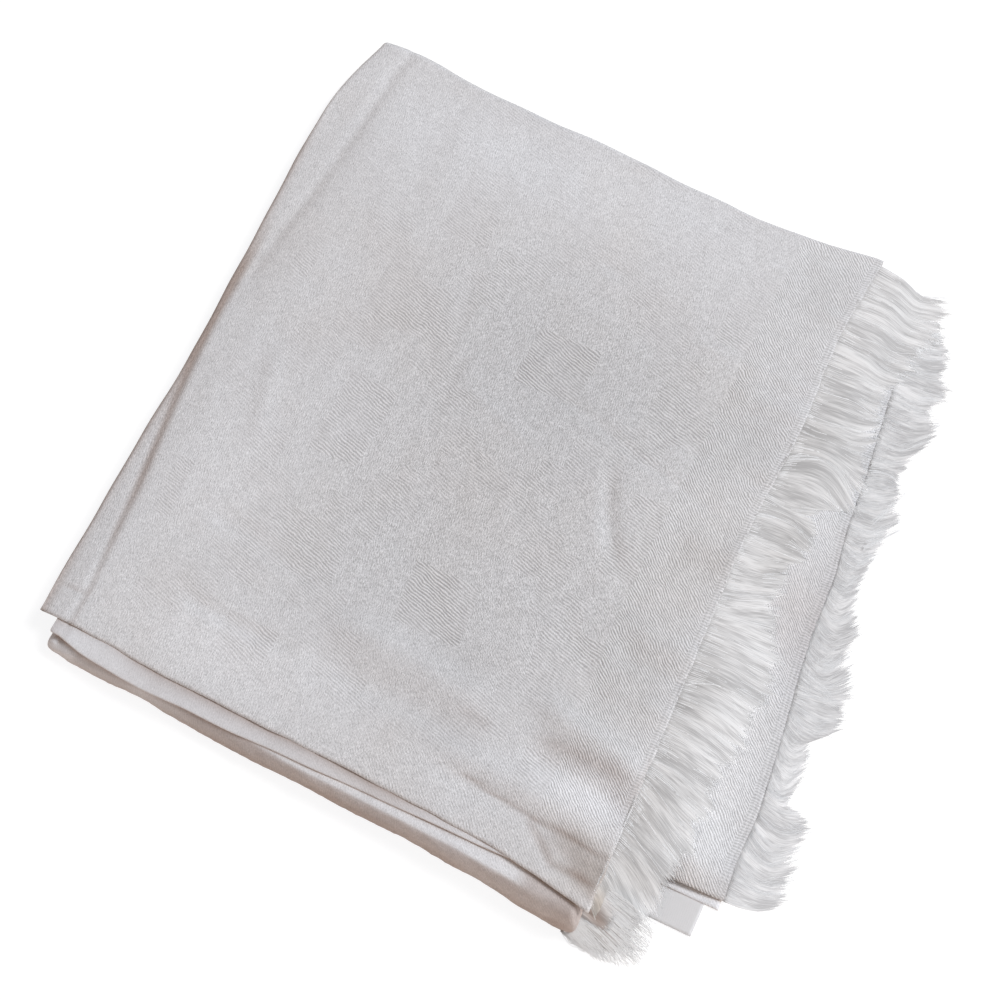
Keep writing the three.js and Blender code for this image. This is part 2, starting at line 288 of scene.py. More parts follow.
# one quarter of the repeat: distances from the middle of a big block, across and along the cloth
blockNet = {"across": 0.195, "along": 0.178, "middle": (-0.078, 0.055), "start": -0.168, "end": 0.123}
blockChart = tableOf(
    ("across", "along", "halfWidth", "halfLength", "clear"),
    # the big block
    (0.000, 0.000, 0.033, 0.0200, 0.8),
    # the stepped net
    (0.029, 0.030, 0.017, 0.0105, 0.6),
    (0.047, 0.052, 0.017, 0.0115, 0.6),
    (0.060, 0.069, 0.017, 0.0060, 0.6),
    (0.075, 0.081, 0.017, 0.0055, 0.6),
    (0.098, 0.088, 0.020, 0.0065, 0.6),
    # the bar and the square
    (0.000, 0.089, 0.0165, 0.0290, 0.8),
    (0.0975, 0.000, 0.0210, 0.0210, 1.0),
)
headerRows = {"from": 0.1683, "pitch": 0.0018, "width": 0.0027, "depth": 0.62}
# uneven thread: each is noise about nought, "gain" times as strong
weaveNoise = {
    "wobble": {"scale": 110, "detail": 2.0, "gain": 0.0036},
    "ragged": {"scale": 500, "detail": 1.0, "gain": 0.0030},
    "streaks": {"scale": 1500, "detail": 1.5, "gain": 5.2, "stretch": (1.0, 0.38, 1.0)},
    "specks": {"scale": 2100, "detail": 0.5, "gain": 4.0},
    "mottle": {"scale": 420, "detail": 3.0, "gain": 1.6, "stretch": (1.0, 0.6, 1.0)},
    "cloudy": {"scale": 170, "detail": 1.5, "gain": 0.70, "stretch": (1.0, 0.7, 1.0)},
}
weaveLines = {
    "rib": {"pitch": 0.0019, "turn": 19},
    "twill": {"pitch": 0.00155, "turn": 43},
    "field": {"pitch": 0.00145, "turn": 82},
}


def threadLines(tree, across, along, wobble, pitch, turn):
    # rows of thread at an angle to the warp, from -1 in the grooves to 1 on the threads
    lean = math.radians(turn)
    reach = plus(tree, times(tree, across, math.sin(lean)), times(tree, along, math.cos(lean)))
    return calc(tree, "SINE", times(tree, plus(tree, reach, wobble), 2 * math.pi / pitch))


def makeBlockMask(tree, across, along, ragged):
    # the net of ribbed blocks: 1 inside a block, 0 in the plain field
    fromMiddle = []
    for value, middle, repeat in ((across, blockNet["middle"][0], blockNet["across"]),
                                  (along, blockNet["middle"][1], blockNet["along"])):
        shifted = plus(tree, minus(tree, value, middle), ragged)
        fromMiddle.append(calc(tree, "PINGPONG", shifted, repeat / 2))
    block = None
    for row in blockChart:
        halves = []
        for value, centre, half in ((fromMiddle[0], row["across"], row["halfWidth"]),
                                    (fromMiddle[1], row["along"], row["halfLength"])):
            away = calc(tree, "ABSOLUTE", minus(tree, value, centre))
            halves.append(ramp(tree, away, half + 0.0006, half - 0.0006))
        patch = times(tree, times(tree, *halves), row["clear"])
        block = patch if block is None else calc(tree, "MAXIMUM", block, patch)
    seen = ramp(tree, across, blockNet["start"] - 0.004, blockNet["start"] + 0.004)
    seen = times(tree, seen, ramp(tree, across, -0.150, -0.095, 0.55, 1.0))
    seen = times(tree, seen, ramp(tree, along, 0.165, 0.100, 0.45, 1.0))
    seen = times(tree, seen, ramp(tree, along, -0.216, -0.196, 0.15, 1.0))
    return times(tree, block, seen)


def makeWeaveGroup():
    # thread shade of the cloth, from 0 to 1, with its net of ribbed blocks and its twill border
    tree, given, made = newGroup(
        "weave", {"Place": "NodeSocketVector", "Blocks": "NodeSocketFloat", "Border": "NodeSocketFloat"},
        {"Thread": "NodeSocketFloat", "Block": "NodeSocketFloat"})
    place = given["Place"]
    parts = split(tree, place)
    across, along = parts["X"], parts["Y"]
    uneven = {name: evenNoise(tree, place, **row) for name, row in weaveNoise.items()}
    wobble, streaks = uneven["wobble"], uneven["streaks"]
    patchy = ramp(tree, noise(tree, place, 34, 2.0), 0.32, 0.66)
    lines = {name: threadLines(tree, across, along, wobble, **size) for name, size in weaveLines.items()}
    block = makeBlockMask(tree, across, along, uneven["ragged"])
    end = blockNet["end"]
    border = ramp(tree, plus(tree, across, uneven["ragged"]), end - 0.0005, end + 0.0005)
    border = times(tree, border, given["Border"])
    inField = times(tree, minus(tree, 1.0, border), given["Blocks"])
    block = times(tree, block, inField)

    # the plain field is short broken threads, and turns to a bolder diagonal near the border
    bold = ramp(tree, scaled(tree, along, -0.45, across), 0.03, 0.19)
    broken = ramp(tree, noise(tree, place, 520, 1.0, (1.0, 0.5, 1.0)), 0.30, 0.68, 0.15, 1.0)
    field = blendValues(tree, bold, times(tree, lines["field"], 0.60), lines["twill"])
    field = times(tree, field, times(tree, broken, 0.62))
    field = plus(tree, field, times(tree, streaks, 0.70))
    ribs = times(tree, lines["rib"], blendValues(tree, patchy, 0.60, 1.25))
    ribs = times(tree, ribs, scaled(tree, broken, 0.45, 0.55))
    ribs = plus(tree, ribs, times(tree, streaks, 0.25))
    twill = times(tree, lines["twill"], scaled(tree, broken, 0.75, 0.55))
    twill = times(tree, twill, ramp(tree, along, -0.234, -0.200, 0.35, 1.0))
    twill = times(tree, plus(tree, twill, times(tree, streaks, 0.38)), 1.06)
    thread = blendValues(tree, border, blendValues(tree, block, field, ribs), twill)
    # the last few millimetres before the fringe are a ladder of drawn threads
    turns = times(tree, plus(tree, along, wobble), 2 * math.pi / headerRows["pitch"])
    ladder = times(tree, calc(tree, "SINE", turns), headerRows["depth"])
    ladder = scaled(tree, uneven["specks"], 0.25, ladder)
    rows = calc(tree, "SINE", times(tree, across, 2 * math.pi / headerRows["width"]))
    ladder = plus(tree, ladder, times(tree, rows, 0.25))
    header = ramp(tree, across, headerRows["from"] - 0.0004, headerRows["from"] + 0.0004)
    header = times(tree, header, ramp(tree, along, -0.215, -0.175, 0.25, 1.0))
    thread = blendValues(tree, times(tree, header, given["Border"]), thread, ladder)
    grain = scaled(tree, uneven["specks"], 0.58, times(tree, uneven["mottle"], 0.9))
    thread = plus(tree, plus(tree, thread, grain), uneven["cloudy"])
    # the weave shows most in the middle of the cloth
    awayX = calc(tree, "ABSOLUTE", minus(tree, across, 0.035))
    awayY = calc(tree, "ABSOLUTE", plus(tree, along, 0.010))
    middle = times(tree, ramp(tree, awayX, 0.150, 0.060), ramp(tree, awayY, 0.175, 0.090))
    gain = scaled(tree, middle, 0.15, 0.40)
    feed(tree, made["Thread"], scaled(tree, thread, gain, 0.5))
    feed(tree, made["Block"], times(tree, block, blendValues(tree, patchy, 0.6, 1.0)))
    return tree


weaveGroup = makeWeaveGroup()

clothLook = {
    "dark": (0.413, 0.414, 0.427, 1), "light": (0.770, 0.774, 0.800, 1),
    "blockTint": (0.945, 0.937, 0.935, 1), "stain": (0.985, 0.970, 0.955, 1),
    "relief": 0.00020, "roughness": 0.88, "sheen": 0.12,
}
# broad soft painted shade where a ply lies lower, and painted light where the shade is negative: how much is
# taken off the colour
topLightAndShadePatches = tableOf(
    ("middle", "size", "shade"),
    ((0.030, 0.045), (0.115, 0.085), 0.125),
    ((0.020, -0.105), (0.120, 0.080), 0.070),
    ((0.170, -0.235), (0.022, 0.016), (0.04, 0.09, 0.14)),
    ((0.172, -0.232), (0.030, 0.012), 0.16),
    ((-0.060, 0.190), (0.140, 0.035), (-0.06, -0.07, -0.08)),
    ((0.145, -0.196), (0.030, 0.014), (-0.14, -0.14, -0.15)),
    ((0.175, -0.015), (0.012, 0.016), 0.10),
    ((-0.090, -0.210), (0.070, 0.025), -0.10),
    ((-0.125, -0.110), (0.045, 0.055), -0.06),
    ((0.045, -0.150), (0.030, 0.016), 0.06),
    ((0.148, -0.223), (0.020, 0.008), (0.10, 0.12, 0.13)),
    ((0.150, -0.222), (0.012, 0.005), (0.10, 0.12, 0.14)),
    ((0.035, -0.195), (0.030, 0.014), 0.035),
    ((0.150, 0.180), (0.028, 0.030), 0.06),
    ((0.150, 0.058), (0.024, 0.026), 0.07),
    ((0.155, -0.032), (0.020, 0.014), 0.06),
    ((0.128, -0.004), (0.030, 0.030), -0.05),
    ((0.140, -0.090), (0.030, 0.020), 0.05),
    ((0.150, -0.110), (0.022, 0.014), 0.06),
)
# painted shade on the second end: where the top fringe lies over it, and near its front edge
endShadePatches = tableOf(
    ("middle", "size", "shade"),
    ((0.162, -0.030), (0.030, 0.040), (0.10, 0.12, 0.12)),
    ((0.155, -0.210), (0.030, 0.014), (0.08, 0.12, 0.15)),
)
# warm colours of painted shade: for folds that ambient occlusion finds, and for the painted-shade attribute
paintedShadeTints = {"tint": (0.90, 0.76, 0.64, 1), "deep": (0.555, 0.460, 0.410, 1), "reach": 0.010}
yarnLook = {
    "light": (0.95, 0.96, 0.98, 1), "dark": (0.62, 0.625, 0.64, 1),
    "relief": 0.00002, "roughness": 0.8, "flatness": 0.92, "facing": (0.0, 0.0, 1.0),
}
# a darker copy of the yarn: painted shade for the second fringe
secondYarnShadeLook = {**yarnLook, "light": (0.80, 0.81, 0.83, 1), "dark": (0.50, 0.505, 0.52, 1)}
yarnLength = 0.045  # a combed sheet's cloth coordinate at its tips
matLook = {
    "light": (0.740, 0.742, 0.752, 1), "dark": (0.450, 0.450, 0.457, 1),
    "relief": 0.00007, "roughness": 0.8, "flatness": 0.70, "facing": (0.0, 0.0, 1.0),
}
underMatLook = {**matLook, "light": (0.750, 0.755, 0.770, 1), "dark": (0.460, 0.463, 0.475, 1)}
cornerFacing = {"flatness": 0.75, "facing": (0.40, -0.50, 0.77)}
# darker copies of the combed and the loose yarn: painted shade for the corner fringe
cornerShadeLook = {**matLook, **cornerFacing, "light": (0.610, 0.610, 0.620, 1), "dark": (0.380, 0.372, 0.372, 1)}
cornerYarnShadeLook = {**yarnLook, **cornerFacing, "light": (0.74, 0.74, 0.75, 1),
                  "dark": (0.42, 0.415, 0.415, 1)}
# broad soft painted shade on the top fringe, by place along the fringe line and past it
fringeShadePatches = tableOf(
    ("middle", "size", "shade"),
    ((0.078, 0.008), (0.050, 0.015), (0.19, 0.195, 0.20)),
    ((0.000, 0.025), (0.036, 0.013), (0.18, 0.19, 0.20)),
    ((-0.106, 0.004), (0.032, 0.012), (0.21, 0.215, 0.22)),
    ((-0.195, 0.006), (0.048, 0.018), (0.22, 0.23, 0.24)),
    ((0.000, 0.002), (0.110, 0.006), 0.06),
    ((-0.240, 0.010), (0.009, 0.016), (0.20, 0.28, 0.36)),
)
labelLook = {"light": (0.64, 0.64, 0.655, 1), "relief": 0.00006, "roughness": 0.6}


def newMaterial(name, roughness, sheen):
    material = bpy.data.materials.new(name)
    material.use_nodes = True
    tree = material.node_tree
    shader = tree.nodes["Principled BSDF"]
    shader.inputs["Roughness"].default_value = roughness
    shader.inputs["Specular IOR Level"].default_value = 0.25
    shader.inputs["Sheen Weight"].default_value = sheen
    shader.inputs["Sheen Roughness"].default_value = 0.5
    return material, tree, shader


def setSurface(tree, shader, colour, height, relief, strength=1.0, normal=None):
    feed(tree, shader.inputs["Base Color"], colour)
    bump = addNode(tree, "ShaderNodeBump", {"Height": height, "Distance": relief, "Strength": strength})
    if normal is not None:
        feed(tree, bump.inputs["Normal"], normal)
    feed(tree, shader.inputs["Normal"], bump.outputs["Normal"])


def makePaintedCreaseShadeGroup():
    # painted warm shade in folds, standing in for light bounced in them: the colour is tinted where ambient
    # occlusion finds the cloth closed in
    tree, given, made = newGroup("crease", {"Colour": "NodeSocketColor", "Tint": "NodeSocketColor",
                                            "Reach": "NodeSocketFloat"}, {"Colour": "NodeSocketColor"})
    around = addNode(tree, "ShaderNodeAmbientOcclusion", {"Distance": given["Reach"]}, samples=6)
    openness = around.outputs["AO"]
    deep = ramp(tree, openness, 0.92, 0.35)
    feed(tree, made["Colour"], tinted(tree, deep, given["Colour"], given["Tint"]))
    return tree


paintedCreaseShadeGroup = makePaintedCreaseShadeGroup()


def makePaintedShadePatchGroup():
    # one broad soft patch of painted shade on a colour, painted light where its shade is negative, by its
    # place on the flat cloth
    tree, given, made = newGroup("soft patch", {
        "Colour": "NodeSocketColor", "Place": "NodeSocketVector", "Middle": "NodeSocketVector",
        "Size": "NodeSocketVector", "Left": "NodeSocketColor"}, {"Colour": "NodeSocketColor"})
    place, middle, size = (split(tree, given[name]) for name in ("Place", "Middle", "Size"))
    spans = []
    for axis in ("X", "Y"):
        away = calc(tree, "DIVIDE", minus(tree, place[axis], middle[axis]), size[axis])
        spans.append(times(tree, away, away))
    soft = calc(tree, "EXPONENT", times(tree, plus(tree, *spans), -1.0))
    left = blendColours(tree, soft, (1, 1, 1, 1), given["Left"])
    feed(tree, made["Colour"], blendColours(tree, 1.0, given["Colour"], left, "MULTIPLY"))
    return tree


def makeSoftNormalGroup():
    # loose yarn is a bundle of hairs, so each side of it is lit more evenly than a smooth surface
    tree, given, made = newGroup("soft normal", {
        "Own": "NodeSocketVector", "Facing": "NodeSocketVector", "Flatness": "NodeSocketFloat"},
        {"Normal": "NodeSocketVector"})
    side = ramp(tree, dot(tree, given["Own"], given["Facing"]), -0.15, 0.15, -1.0, 1.0)
    facing = addNode(tree, "ShaderNodeVectorMath", {0: given["Facing"], "Scale": side}, operation="SCALE")
    soft = addNode(tree, "ShaderNodeMix", data_type="VECTOR")
    for socket, value in ((0, given["Flatness"]), (4, given["Own"]), (5, facing.outputs[0])):
        feed(tree, soft.inputs[socket], value)
    even = addNode(tree, "ShaderNodeVectorMath", {0: soft.outputs[1]}, operation="NORMALIZE")
    feed(tree, made["Normal"], even.outputs[0])
    return tree


paintedShadePatchGroup = makePaintedShadePatchGroup()
softNormalGroup = makeSoftNormalGroup()


# patches of painted shade and painted light, one after another
def paintLightAndShadePatches(tree, colour, place, patches):
    for patch in patches:
        colour = useGroup(tree, paintedShadePatchGroup, {
            "Colour": colour, "Place": place, "Middle": (*patch["middle"], 0), "Size": (*patch["size"], 1),
            "Left": (*(1 - np.broadcast_to(patch["shade"], 3)), 1)})["Colour"]
    return colour


def softNormal(tree, look):
    own = addNode(tree, "ShaderNodeNewGeometry").outputs["Normal"]
    given = {"Own": own, "Facing": look["facing"], "Flatness": look["flatness"]}
    return useGroup(tree, softNormalGroup, given)["Normal"]


def applyPaintedShade(tree, colour):
    # painted warm shade, as strong as a sheet's own painted-shade attribute
    deep = addNode(tree, "ShaderNodeAttribute", attribute_name="deep").outputs["Fac"]
    return tinted(tree, deep, colour, paintedShadeTints["deep"])


def clothMaterial(name, blocks, border, tint=(1, 1, 1, 1), patches=(), plain=0.0, creased=True):
    look = clothLook
    material, tree, shader = newMaterial(name, look["roughness"], look["sheen"])
    place = addNode(tree, "ShaderNodeUVMap", uv_map="Cloth").outputs["UV"]
    weave = useGroup(tree, weaveGroup, {"Place": place, "Blocks": blocks, "Border": border})
    thread = blendValues(tree, plain, weave["Thread"], 0.5)
    colour = blendColours(tree, thread, look["dark"], look["light"])
    cloud = ramp(tree, noise(tree, place, 9, 3.0), 0.42, 0.75)
    for share, shade in ((weave["Block"], look["blockTint"]), (cloud, look["stain"])):
        colour = tinted(tree, share, colour, shade)
    # the tint gives a whole ply a lighter or darker copy of the cloth: painted light on the folds, painted
    # shade on the second end
    colour = blendColours(tree, 1.0, colour, tint, "MULTIPLY")
    colour = applyPaintedShade(tree, paintLightAndShadePatches(tree, colour, place, patches))
    # painted warm shade in folds, from ambient occlusion
    if creased:
        colour = useGroup(tree, paintedCreaseShadeGroup, {"Colour": colour, "Tint": paintedShadeTints["tint"],
                                              "Reach": paintedShadeTints["reach"]})["Colour"]
    setSurface(tree, shader, colour, thread, look["relief"])
    return material


def yarnMaterial(name, look=yarnLook):
    material, tree, shader = newMaterial(name, look["roughness"], 0.1)
    place = addNode(tree, "ShaderNodeUVMap", uv_map="Yarn").outputs["UV"]
    parts = split(tree, place)
    tone = addNode(tree, "ShaderNodeAttribute", attribute_name="tone").outputs["Fac"]
    turns = scaled(tree, parts["Y"], 900.0, parts["X"])
    twist = calc(tree, "SINE", times(tree, turns, 2 * math.pi))
    twist = scaled(tree, twist, 0.5, 0.5)
    colour = blendColours(tree, tone, look["dark"], look["light"])
    colour = blendColours(tree, times(tree, twist, 0.15), colour, look["dark"])
    setSurface(tree, shader, colour, twist, look["relief"], 0.6, softNormal(tree, look))
    return material


def tapeMaterial(name, look=labelLook):
    material, tree, shader = newMaterial(name, look["roughness"], 0.05)
    place = addNode(tree, "ShaderNodeUVMap", uv_map="Cloth").outputs["UV"]
    parts = split(tree, place)
    still = times(tree, noise(tree, place, 300), 0.0004)
    ribs = threadLines(tree, parts["X"], parts["Y"], still, 0.0006, 0)
    colour = blendColours(tree, times(tree, ribs, 0.08), look["light"], (0.5, 0.5, 0.5, 1))
    setSurface(tree, shader, colour, ribs, look["relief"])
    return material


def matMaterial(name, look=matLook, patches=()):
    # combed yarns, seen as fine lines that run along the fringe and part into hairs at the tips
    material, tree, shader = newMaterial(name, look["roughness"], 0.1)
    place = addNode(tree, "ShaderNodeUVMap", uv_map="Cloth").outputs["UV"]
    fine = noise(tree, place, 2100, 1.0, (1.0, 0.05, 1.0))
    broad = noise(tree, place, 420, 2.0, (1.0, 0.12, 1.0))
    wide = noise(tree, place, 130, 2.0, (1.0, 0.16, 1.0))
    lines = scaled(tree, wide, 1.6, scaled(tree, fine, 1.4, broad))
    lines = scaled(tree, lines, 1.6, -2.70)
    colour = blendColours(tree, lines, look["dark"], look["light"])
    colour = applyPaintedShade(tree, paintLightAndShadePatches(tree, colour, place, patches))
    parts = split(tree, place)
    tip = calc(tree, "DIVIDE", parts["Y"], yarnLength)
    hair = noise(tree, place, 1500, 1.0, (1.0, 0.02, 1.0))
    lock = noise(tree, place, 260, 1.0, (1.0, 0.02, 1.0))
    keep = plus(tree, times(tree, hair, 0.55), times(tree, lock, 0.45))
    gone = ramp(tree, tip, 0.42, 1.0, 0.22, 0.84)
    gone = plus(tree, gone, ramp(tree, parts["X"], -0.247, -0.232, 0.22, 0.0))
    feed(tree, shader.inputs["Alpha"], ramp(tree, minus(tree, keep, gone), -0.06, 0.07))
    setSurface(tree, shader, colour, lines, look["relief"], normal=softNormal(tree, look))
    return material


topCloth = clothMaterial("top cloth", 1.0, 1.0, patches=topLightAndShadePatches)
# a lighter copy of the cloth for the plies under the top one, with half the weave: painted light
foldClothPaintedLighter = clothMaterial("fold cloth", 0.0, 0.0, tint=(1.12, 1.135, 1.155, 1), plain=0.5)
combedYarn = matMaterial("combed yarn", patches=fringeShadePatches)
# painted shade patches on the second fringe
underYarn = matMaterial("combed second yarn", underMatLook, [
    {"middle": (0.085, 0.020), "size": (0.060, 0.030), "shade": 0.08},
    {"middle": (-0.035, 0.020), "size": (0.045, 0.030), "shade": 0.11}])
cornerYarn = matMaterial("combed corner yarn", cornerShadeLook)
# a darker copy of the cloth for the second end: painted shade
endClothPaintedDarker = clothMaterial("end cloth", 0.0, 1.0, tint=(0.91, 0.915, 0.92, 1), patches=endShadePatches,
                         creased=False)
fringeYarn = yarnMaterial("fringe yarn")
secondYarn = yarnMaterial("second fringe yarn", secondYarnShadeLook)
cornerStrands = yarnMaterial("corner yarn", cornerYarnShadeLook)
labelTape = tapeMaterial("label tape")
print("materials made")


# floor and world

floorLook = {
    "size": 3.0, "roughness": 0.7, "warm": ((0.80, 0.70, 0.62, 1), (0.84, 0.74, 0.66, 1)),
    # seen directly, the floor is a pale lit table, so that the cloth's shadow on it stays faint
    "seen": (0.22, 0.21, 0.205, 1), "glow": (0.84, 0.85, 0.86, 1),
}
# soft room light, cooler from behind and the right, with a low warm fill from the front left
roomLook = {
    "front": (0.30, 0.21, 0.155, 1), "behind": (0.27, 0.29, 0.32, 1), "behindWay": (0.55, 0.75, 0.35),
    "fill": (1.00, 0.86, 0.77, 1), "fillWay": (-0.25, -0.95, -0.15),
}


def makeFloor(look):
    shape = bmesh.new()
    bmesh.ops.create_grid(shape, x_segments=1, y_segments=1, size=look["size"])
    mesh = bpy.data.meshes.new("floor")
    shape.to_mesh(mesh)
    shape.free()
    floor = addObject("floor", mesh)
    material, tree, shader = newMaterial("floor", look["roughness"], 0.0)
    place = addNode(tree, "ShaderNodeTexCoord").outputs["Object"]
    colour = blendColours(tree, noise(tree, place, 3), *look["warm"])
    seen = addNode(tree, "ShaderNodeLightPath").outputs["Is Camera Ray"]
    feed(tree, shader.inputs["Base Color"], blendColours(tree, seen, colour, look["seen"]))
    shader.inputs["Emission Color"].default_value = look["glow"]
    feed(tree, shader.inputs["Emission Strength"], seen)
    mesh.materials.append(material)


def makeWorld(look):
    world = bpy.data.worlds.new("room")
    bpy.context.scene.world = world
    world.use_nodes = True
    tree = world.node_tree
    place = addNode(tree, "ShaderNodeTexCoord").outputs["Generated"]
    share = ramp(tree, dot(tree, place, look["behindWay"]), -0.8, 0.8)
    colour = blendColours(tree, share, look["front"], look["behind"])
    fill = ramp(tree, dot(tree, place, look["fillWay"]), 0.15, 0.90)
    colour = blendColours(tree, fill, colour, look["fill"])
    background = tree.nodes["Background"]
    feed(tree, background.inputs["Color"], colour)
    background.inputs["Strength"].default_value = 1.0


makeFloor(floorLook)
makeWorld(roomLook)


# sheets

# the lowest that a ply or yarn lies over the surface, and that a combed mat does
groundGap, matGap = 0.0003, 0.0004


def finishMesh(mesh, mapName, mapPlaces, attribute, values, material):
    # smooth faces, and what the material reads of each point: its place on the cloth and a share
    corners = np.empty(len(mesh.loops), np.int32)
    mesh.loops.foreach_get("vertex_index", corners)
    places = mapPlaces[corners].astype(np.float32).ravel()
    mesh.uv_layers.new(name=mapName).data.foreach_set("uv", places)
    mesh.polygons.foreach_set("use_smooth", np.ones(len(mesh.polygons), bool))
    if values is not None:
        mesh.attributes.new(attribute, "FLOAT", "POINT").data.foreach_set("value", values.astype(np.float32))
    mesh.materials.append(material)


def sheetFromGrid(name, settings, layOut, material, deepAt=None):
    # a flat grid, each point moved to where layOut puts its shares across and along; layOut gives
    # the points and the flat cloth's own coordinates, and the last argument how much painted shade each
    # point gets
    shape = bmesh.new()
    rolled = settings.get("rollSteps", 0)
    bmesh.ops.create_grid(shape, x_segments=settings["columns"] + rolled,
                          y_segments=settings["rows"] + rolled, size=0.5)
    flat = np.array([vertex.co for vertex in shape.verts]) + 0.5
    mesh = bpy.data.meshes.new(name)
    shape.to_mesh(mesh)
    shape.free()
    points, cloth = layOut(flat[:, 0], flat[:, 1])
    mesh.vertices.foreach_set("co", (points + padMiddle).astype(np.float32).ravel())
    deep = None if deepAt is None else np.clip(deepAt(points[:, 0], points[:, 1]), 0, 1)
    finishMesh(mesh, "Cloth", cloth, "deep", deep, material)
    mesh.update()
    piece = addObject(name, mesh)
    wall = piece.modifiers.new("wall", "SOLIDIFY")
    wall.thickness = settings["thickness"]
    wall.offset = -1
    return piece


def waves(x, y, size, seed, count=14):
    # soft uneven swell from -1 to 1 or so, of about the given wavelength
    toss = np.random.default_rng(seed)
    total = np.zeros(np.broadcast(x, y).shape)
    for _ in range(count):
        turn, shift = toss.uniform(0, 2 * math.pi, 2)
        number = 2 * math.pi / (size * toss.uniform(0.7, 1.5))
        total += np.cos(number * (x * math.cos(turn) + y * math.sin(turn)) + shift)
    return total / math.sqrt(count)


def planPoint(edges, s, t):
    # plan place at shares s, left to right, and t, back to front, between four edge curves
    x = mix(edges["left"](0.0), edges["right"](0.0), s)
    y = mix(edges["back"](x), edges["front"](x), t)
    for _ in range(8):
        x = mix(edges["left"](y), edges["right"](y), s)
        y = mix(edges["back"](x), edges["front"](x), t)
    return x, y


# the top ply's front edge stands a little back from the solid's near its left end
frontShift = smoothCurve([-0.184, -0.165, -0.137, -0.102, -0.067, 0.0],
                         [0.0, 0.0022, 0.0036, 0.0016, 0.0, 0.0])


def topHeight(x, y):
    s = np.clip((x - leftEdge(y)) / (fringeEdge(y) - leftEdge(y)), 0, 1)
    t = np.clip((backEdge(x) - y) / (backEdge(x) - frontEdge(x)), 0, 1)
    back = mix(cornerHeight["backLeft"], cornerHeight["backRight"], s)
    front = mix(cornerHeight["frontLeft"], cornerHeight["frontRight"], s * s)
    return mix(back, front, t * t * (3 - 2 * t))


# creases of the top ply: a line in plan, how far it rises, its half width, and
# the shares of its length over which each end comes in
fadingEnds, openEnds = ((0, 0.3), (0, 0.3)), ((-0.3, 0.15), (-0.3, 0.15))
topCreases = tableOf(
    ("line", "rise", "width", "ends"),
    (((0.078, 0.012), (0.088, -0.020), (0.098, -0.038), (0.114, -0.060)), -0.0016, 0.0050),
    (((-0.147, -0.002), (-0.137, -0.040), (-0.125, -0.080)), 0.0008, 0.0060),
    (((-0.130, -0.172), (-0.105, -0.183), (-0.060, -0.185), (-0.035, -0.181)), -0.0011, 0.0050),
    (((-0.035, -0.154), (0.030, -0.161), (0.095, -0.169)), 0.0024, 0.0110),
    (((-0.040, -0.182), (0.020, -0.184), (0.090, -0.188)), -0.0020, 0.0100),
    (((0.095, -0.150), (0.135, -0.157), (0.165, -0.163), (0.190, -0.172)), 0.0034, 0.0090),
    (((0.100, -0.180), (0.135, -0.183), (0.165, -0.186), (0.190, -0.196)), -0.0028, 0.0080),
    (((0.050, -0.198), (0.120, -0.202), (0.160, -0.206), (0.190, -0.212)), 0.0022, 0.0090),
    (((0.050, -0.209), (0.095, -0.2125), (0.125, -0.2155), (0.150, -0.218), (0.190, -0.222)),
     -0.0012, 0.0060),
    (((0.070, -0.2085), (0.095, -0.2110), (0.120, -0.2135), (0.145, -0.2165), (0.172, -0.2190)),
     -0.0007, 0.0014),
    (((0.134, -0.218), (0.142, -0.2275), (0.149, -0.2335), (0.160, -0.2350), (0.176, -0.2325)),
     -0.0011, 0.0022),
    (((0.146, -0.226), (0.165, -0.2275), (0.188, -0.2300)), -0.0018, 0.0060),
    (((0.150, 0.166), (0.190, 0.163)), 0.0009, 0.0045),
    (((0.070, 0.109), (0.125, 0.108), (0.190, 0.106)), 0.0006, 0.0055),
    (((0.115, 0.088), (0.150, 0.088), (0.190, 0.087)), 0.0011, 0.0070),
    (((0.130, 0.060), (0.160, 0.058), (0.190, 0.060)), -0.0010, 0.0120),
    (((0.145, 0.034), (0.190, 0.030)), -0.0008, 0.0050),
    (((0.130, -0.016), (0.160, -0.018), (0.190, -0.016)), 0.0013, 0.0080),
    (((0.140, -0.040), (0.190, -0.040)), -0.0009, 0.0070),
    (((0.122, -0.085), (0.155, -0.089), (0.190, -0.088)), 0.0012, 0.0065),
    (((0.125, -0.104), (0.190, -0.106)), -0.0010, 0.0065),
    (((0.155, -0.128), (0.190, -0.130)), 0.0009, 0.0060),
    (((0.095, -0.095), (0.125, -0.125), (0.152, -0.145)), -0.0006, 0.0080),
    (((-0.130, 0.215), (-0.127, 0.150), (-0.115, 0.085)), -0.0007, 0.0120),
    (((-0.036, 0.050), (-0.036, -0.015)), -0.0004, 0.0040),
    (((-0.060, 0.105), (-0.048, 0.045)), -0.0005, 0.0060),
    (((0.005, 0.038), (0.042, 0.034), (0.080, 0.022), (0.130, 0.008), (0.170, 0.001)), -0.0006, 0.0036),
    (((-0.030, 0.018), (0.038, -0.006)), 0.0004, 0.0050),
    (((-0.150, -0.122), (-0.100, -0.130), (-0.060, -0.138), (-0.035, -0.145)), -0.0007, 0.0065),
    (((0.010, 0.138), (0.035, 0.134)), -0.0005, 0.0050),
    (((0.120, 0.200), (0.150, 0.175)), -0.0007, 0.0110),
)
# the lines pressed in along the left fold
leftCreases = tableOf(
    ("line", "rise", "width", "ends"),
    (((-0.172, 0.245), (-0.179, 0.215), (-0.181, 0.157), (-0.183, 0.116), (-0.187, 0.070),
     (-0.190, 0.030)), -0.0012, 0.0045, openEnds),
    (((-0.1922, -0.020), (-0.1880, -0.060), (-0.1815, -0.1055), (-0.1768, -0.133), (-0.1738, -0.157),
     (-0.1675, -0.202), (-0.1658, -0.230)), -0.0011, 0.0017, openEnds),
    (((-0.186, -0.207), (-0.158, -0.205)), -0.0004, 0.0018),
)
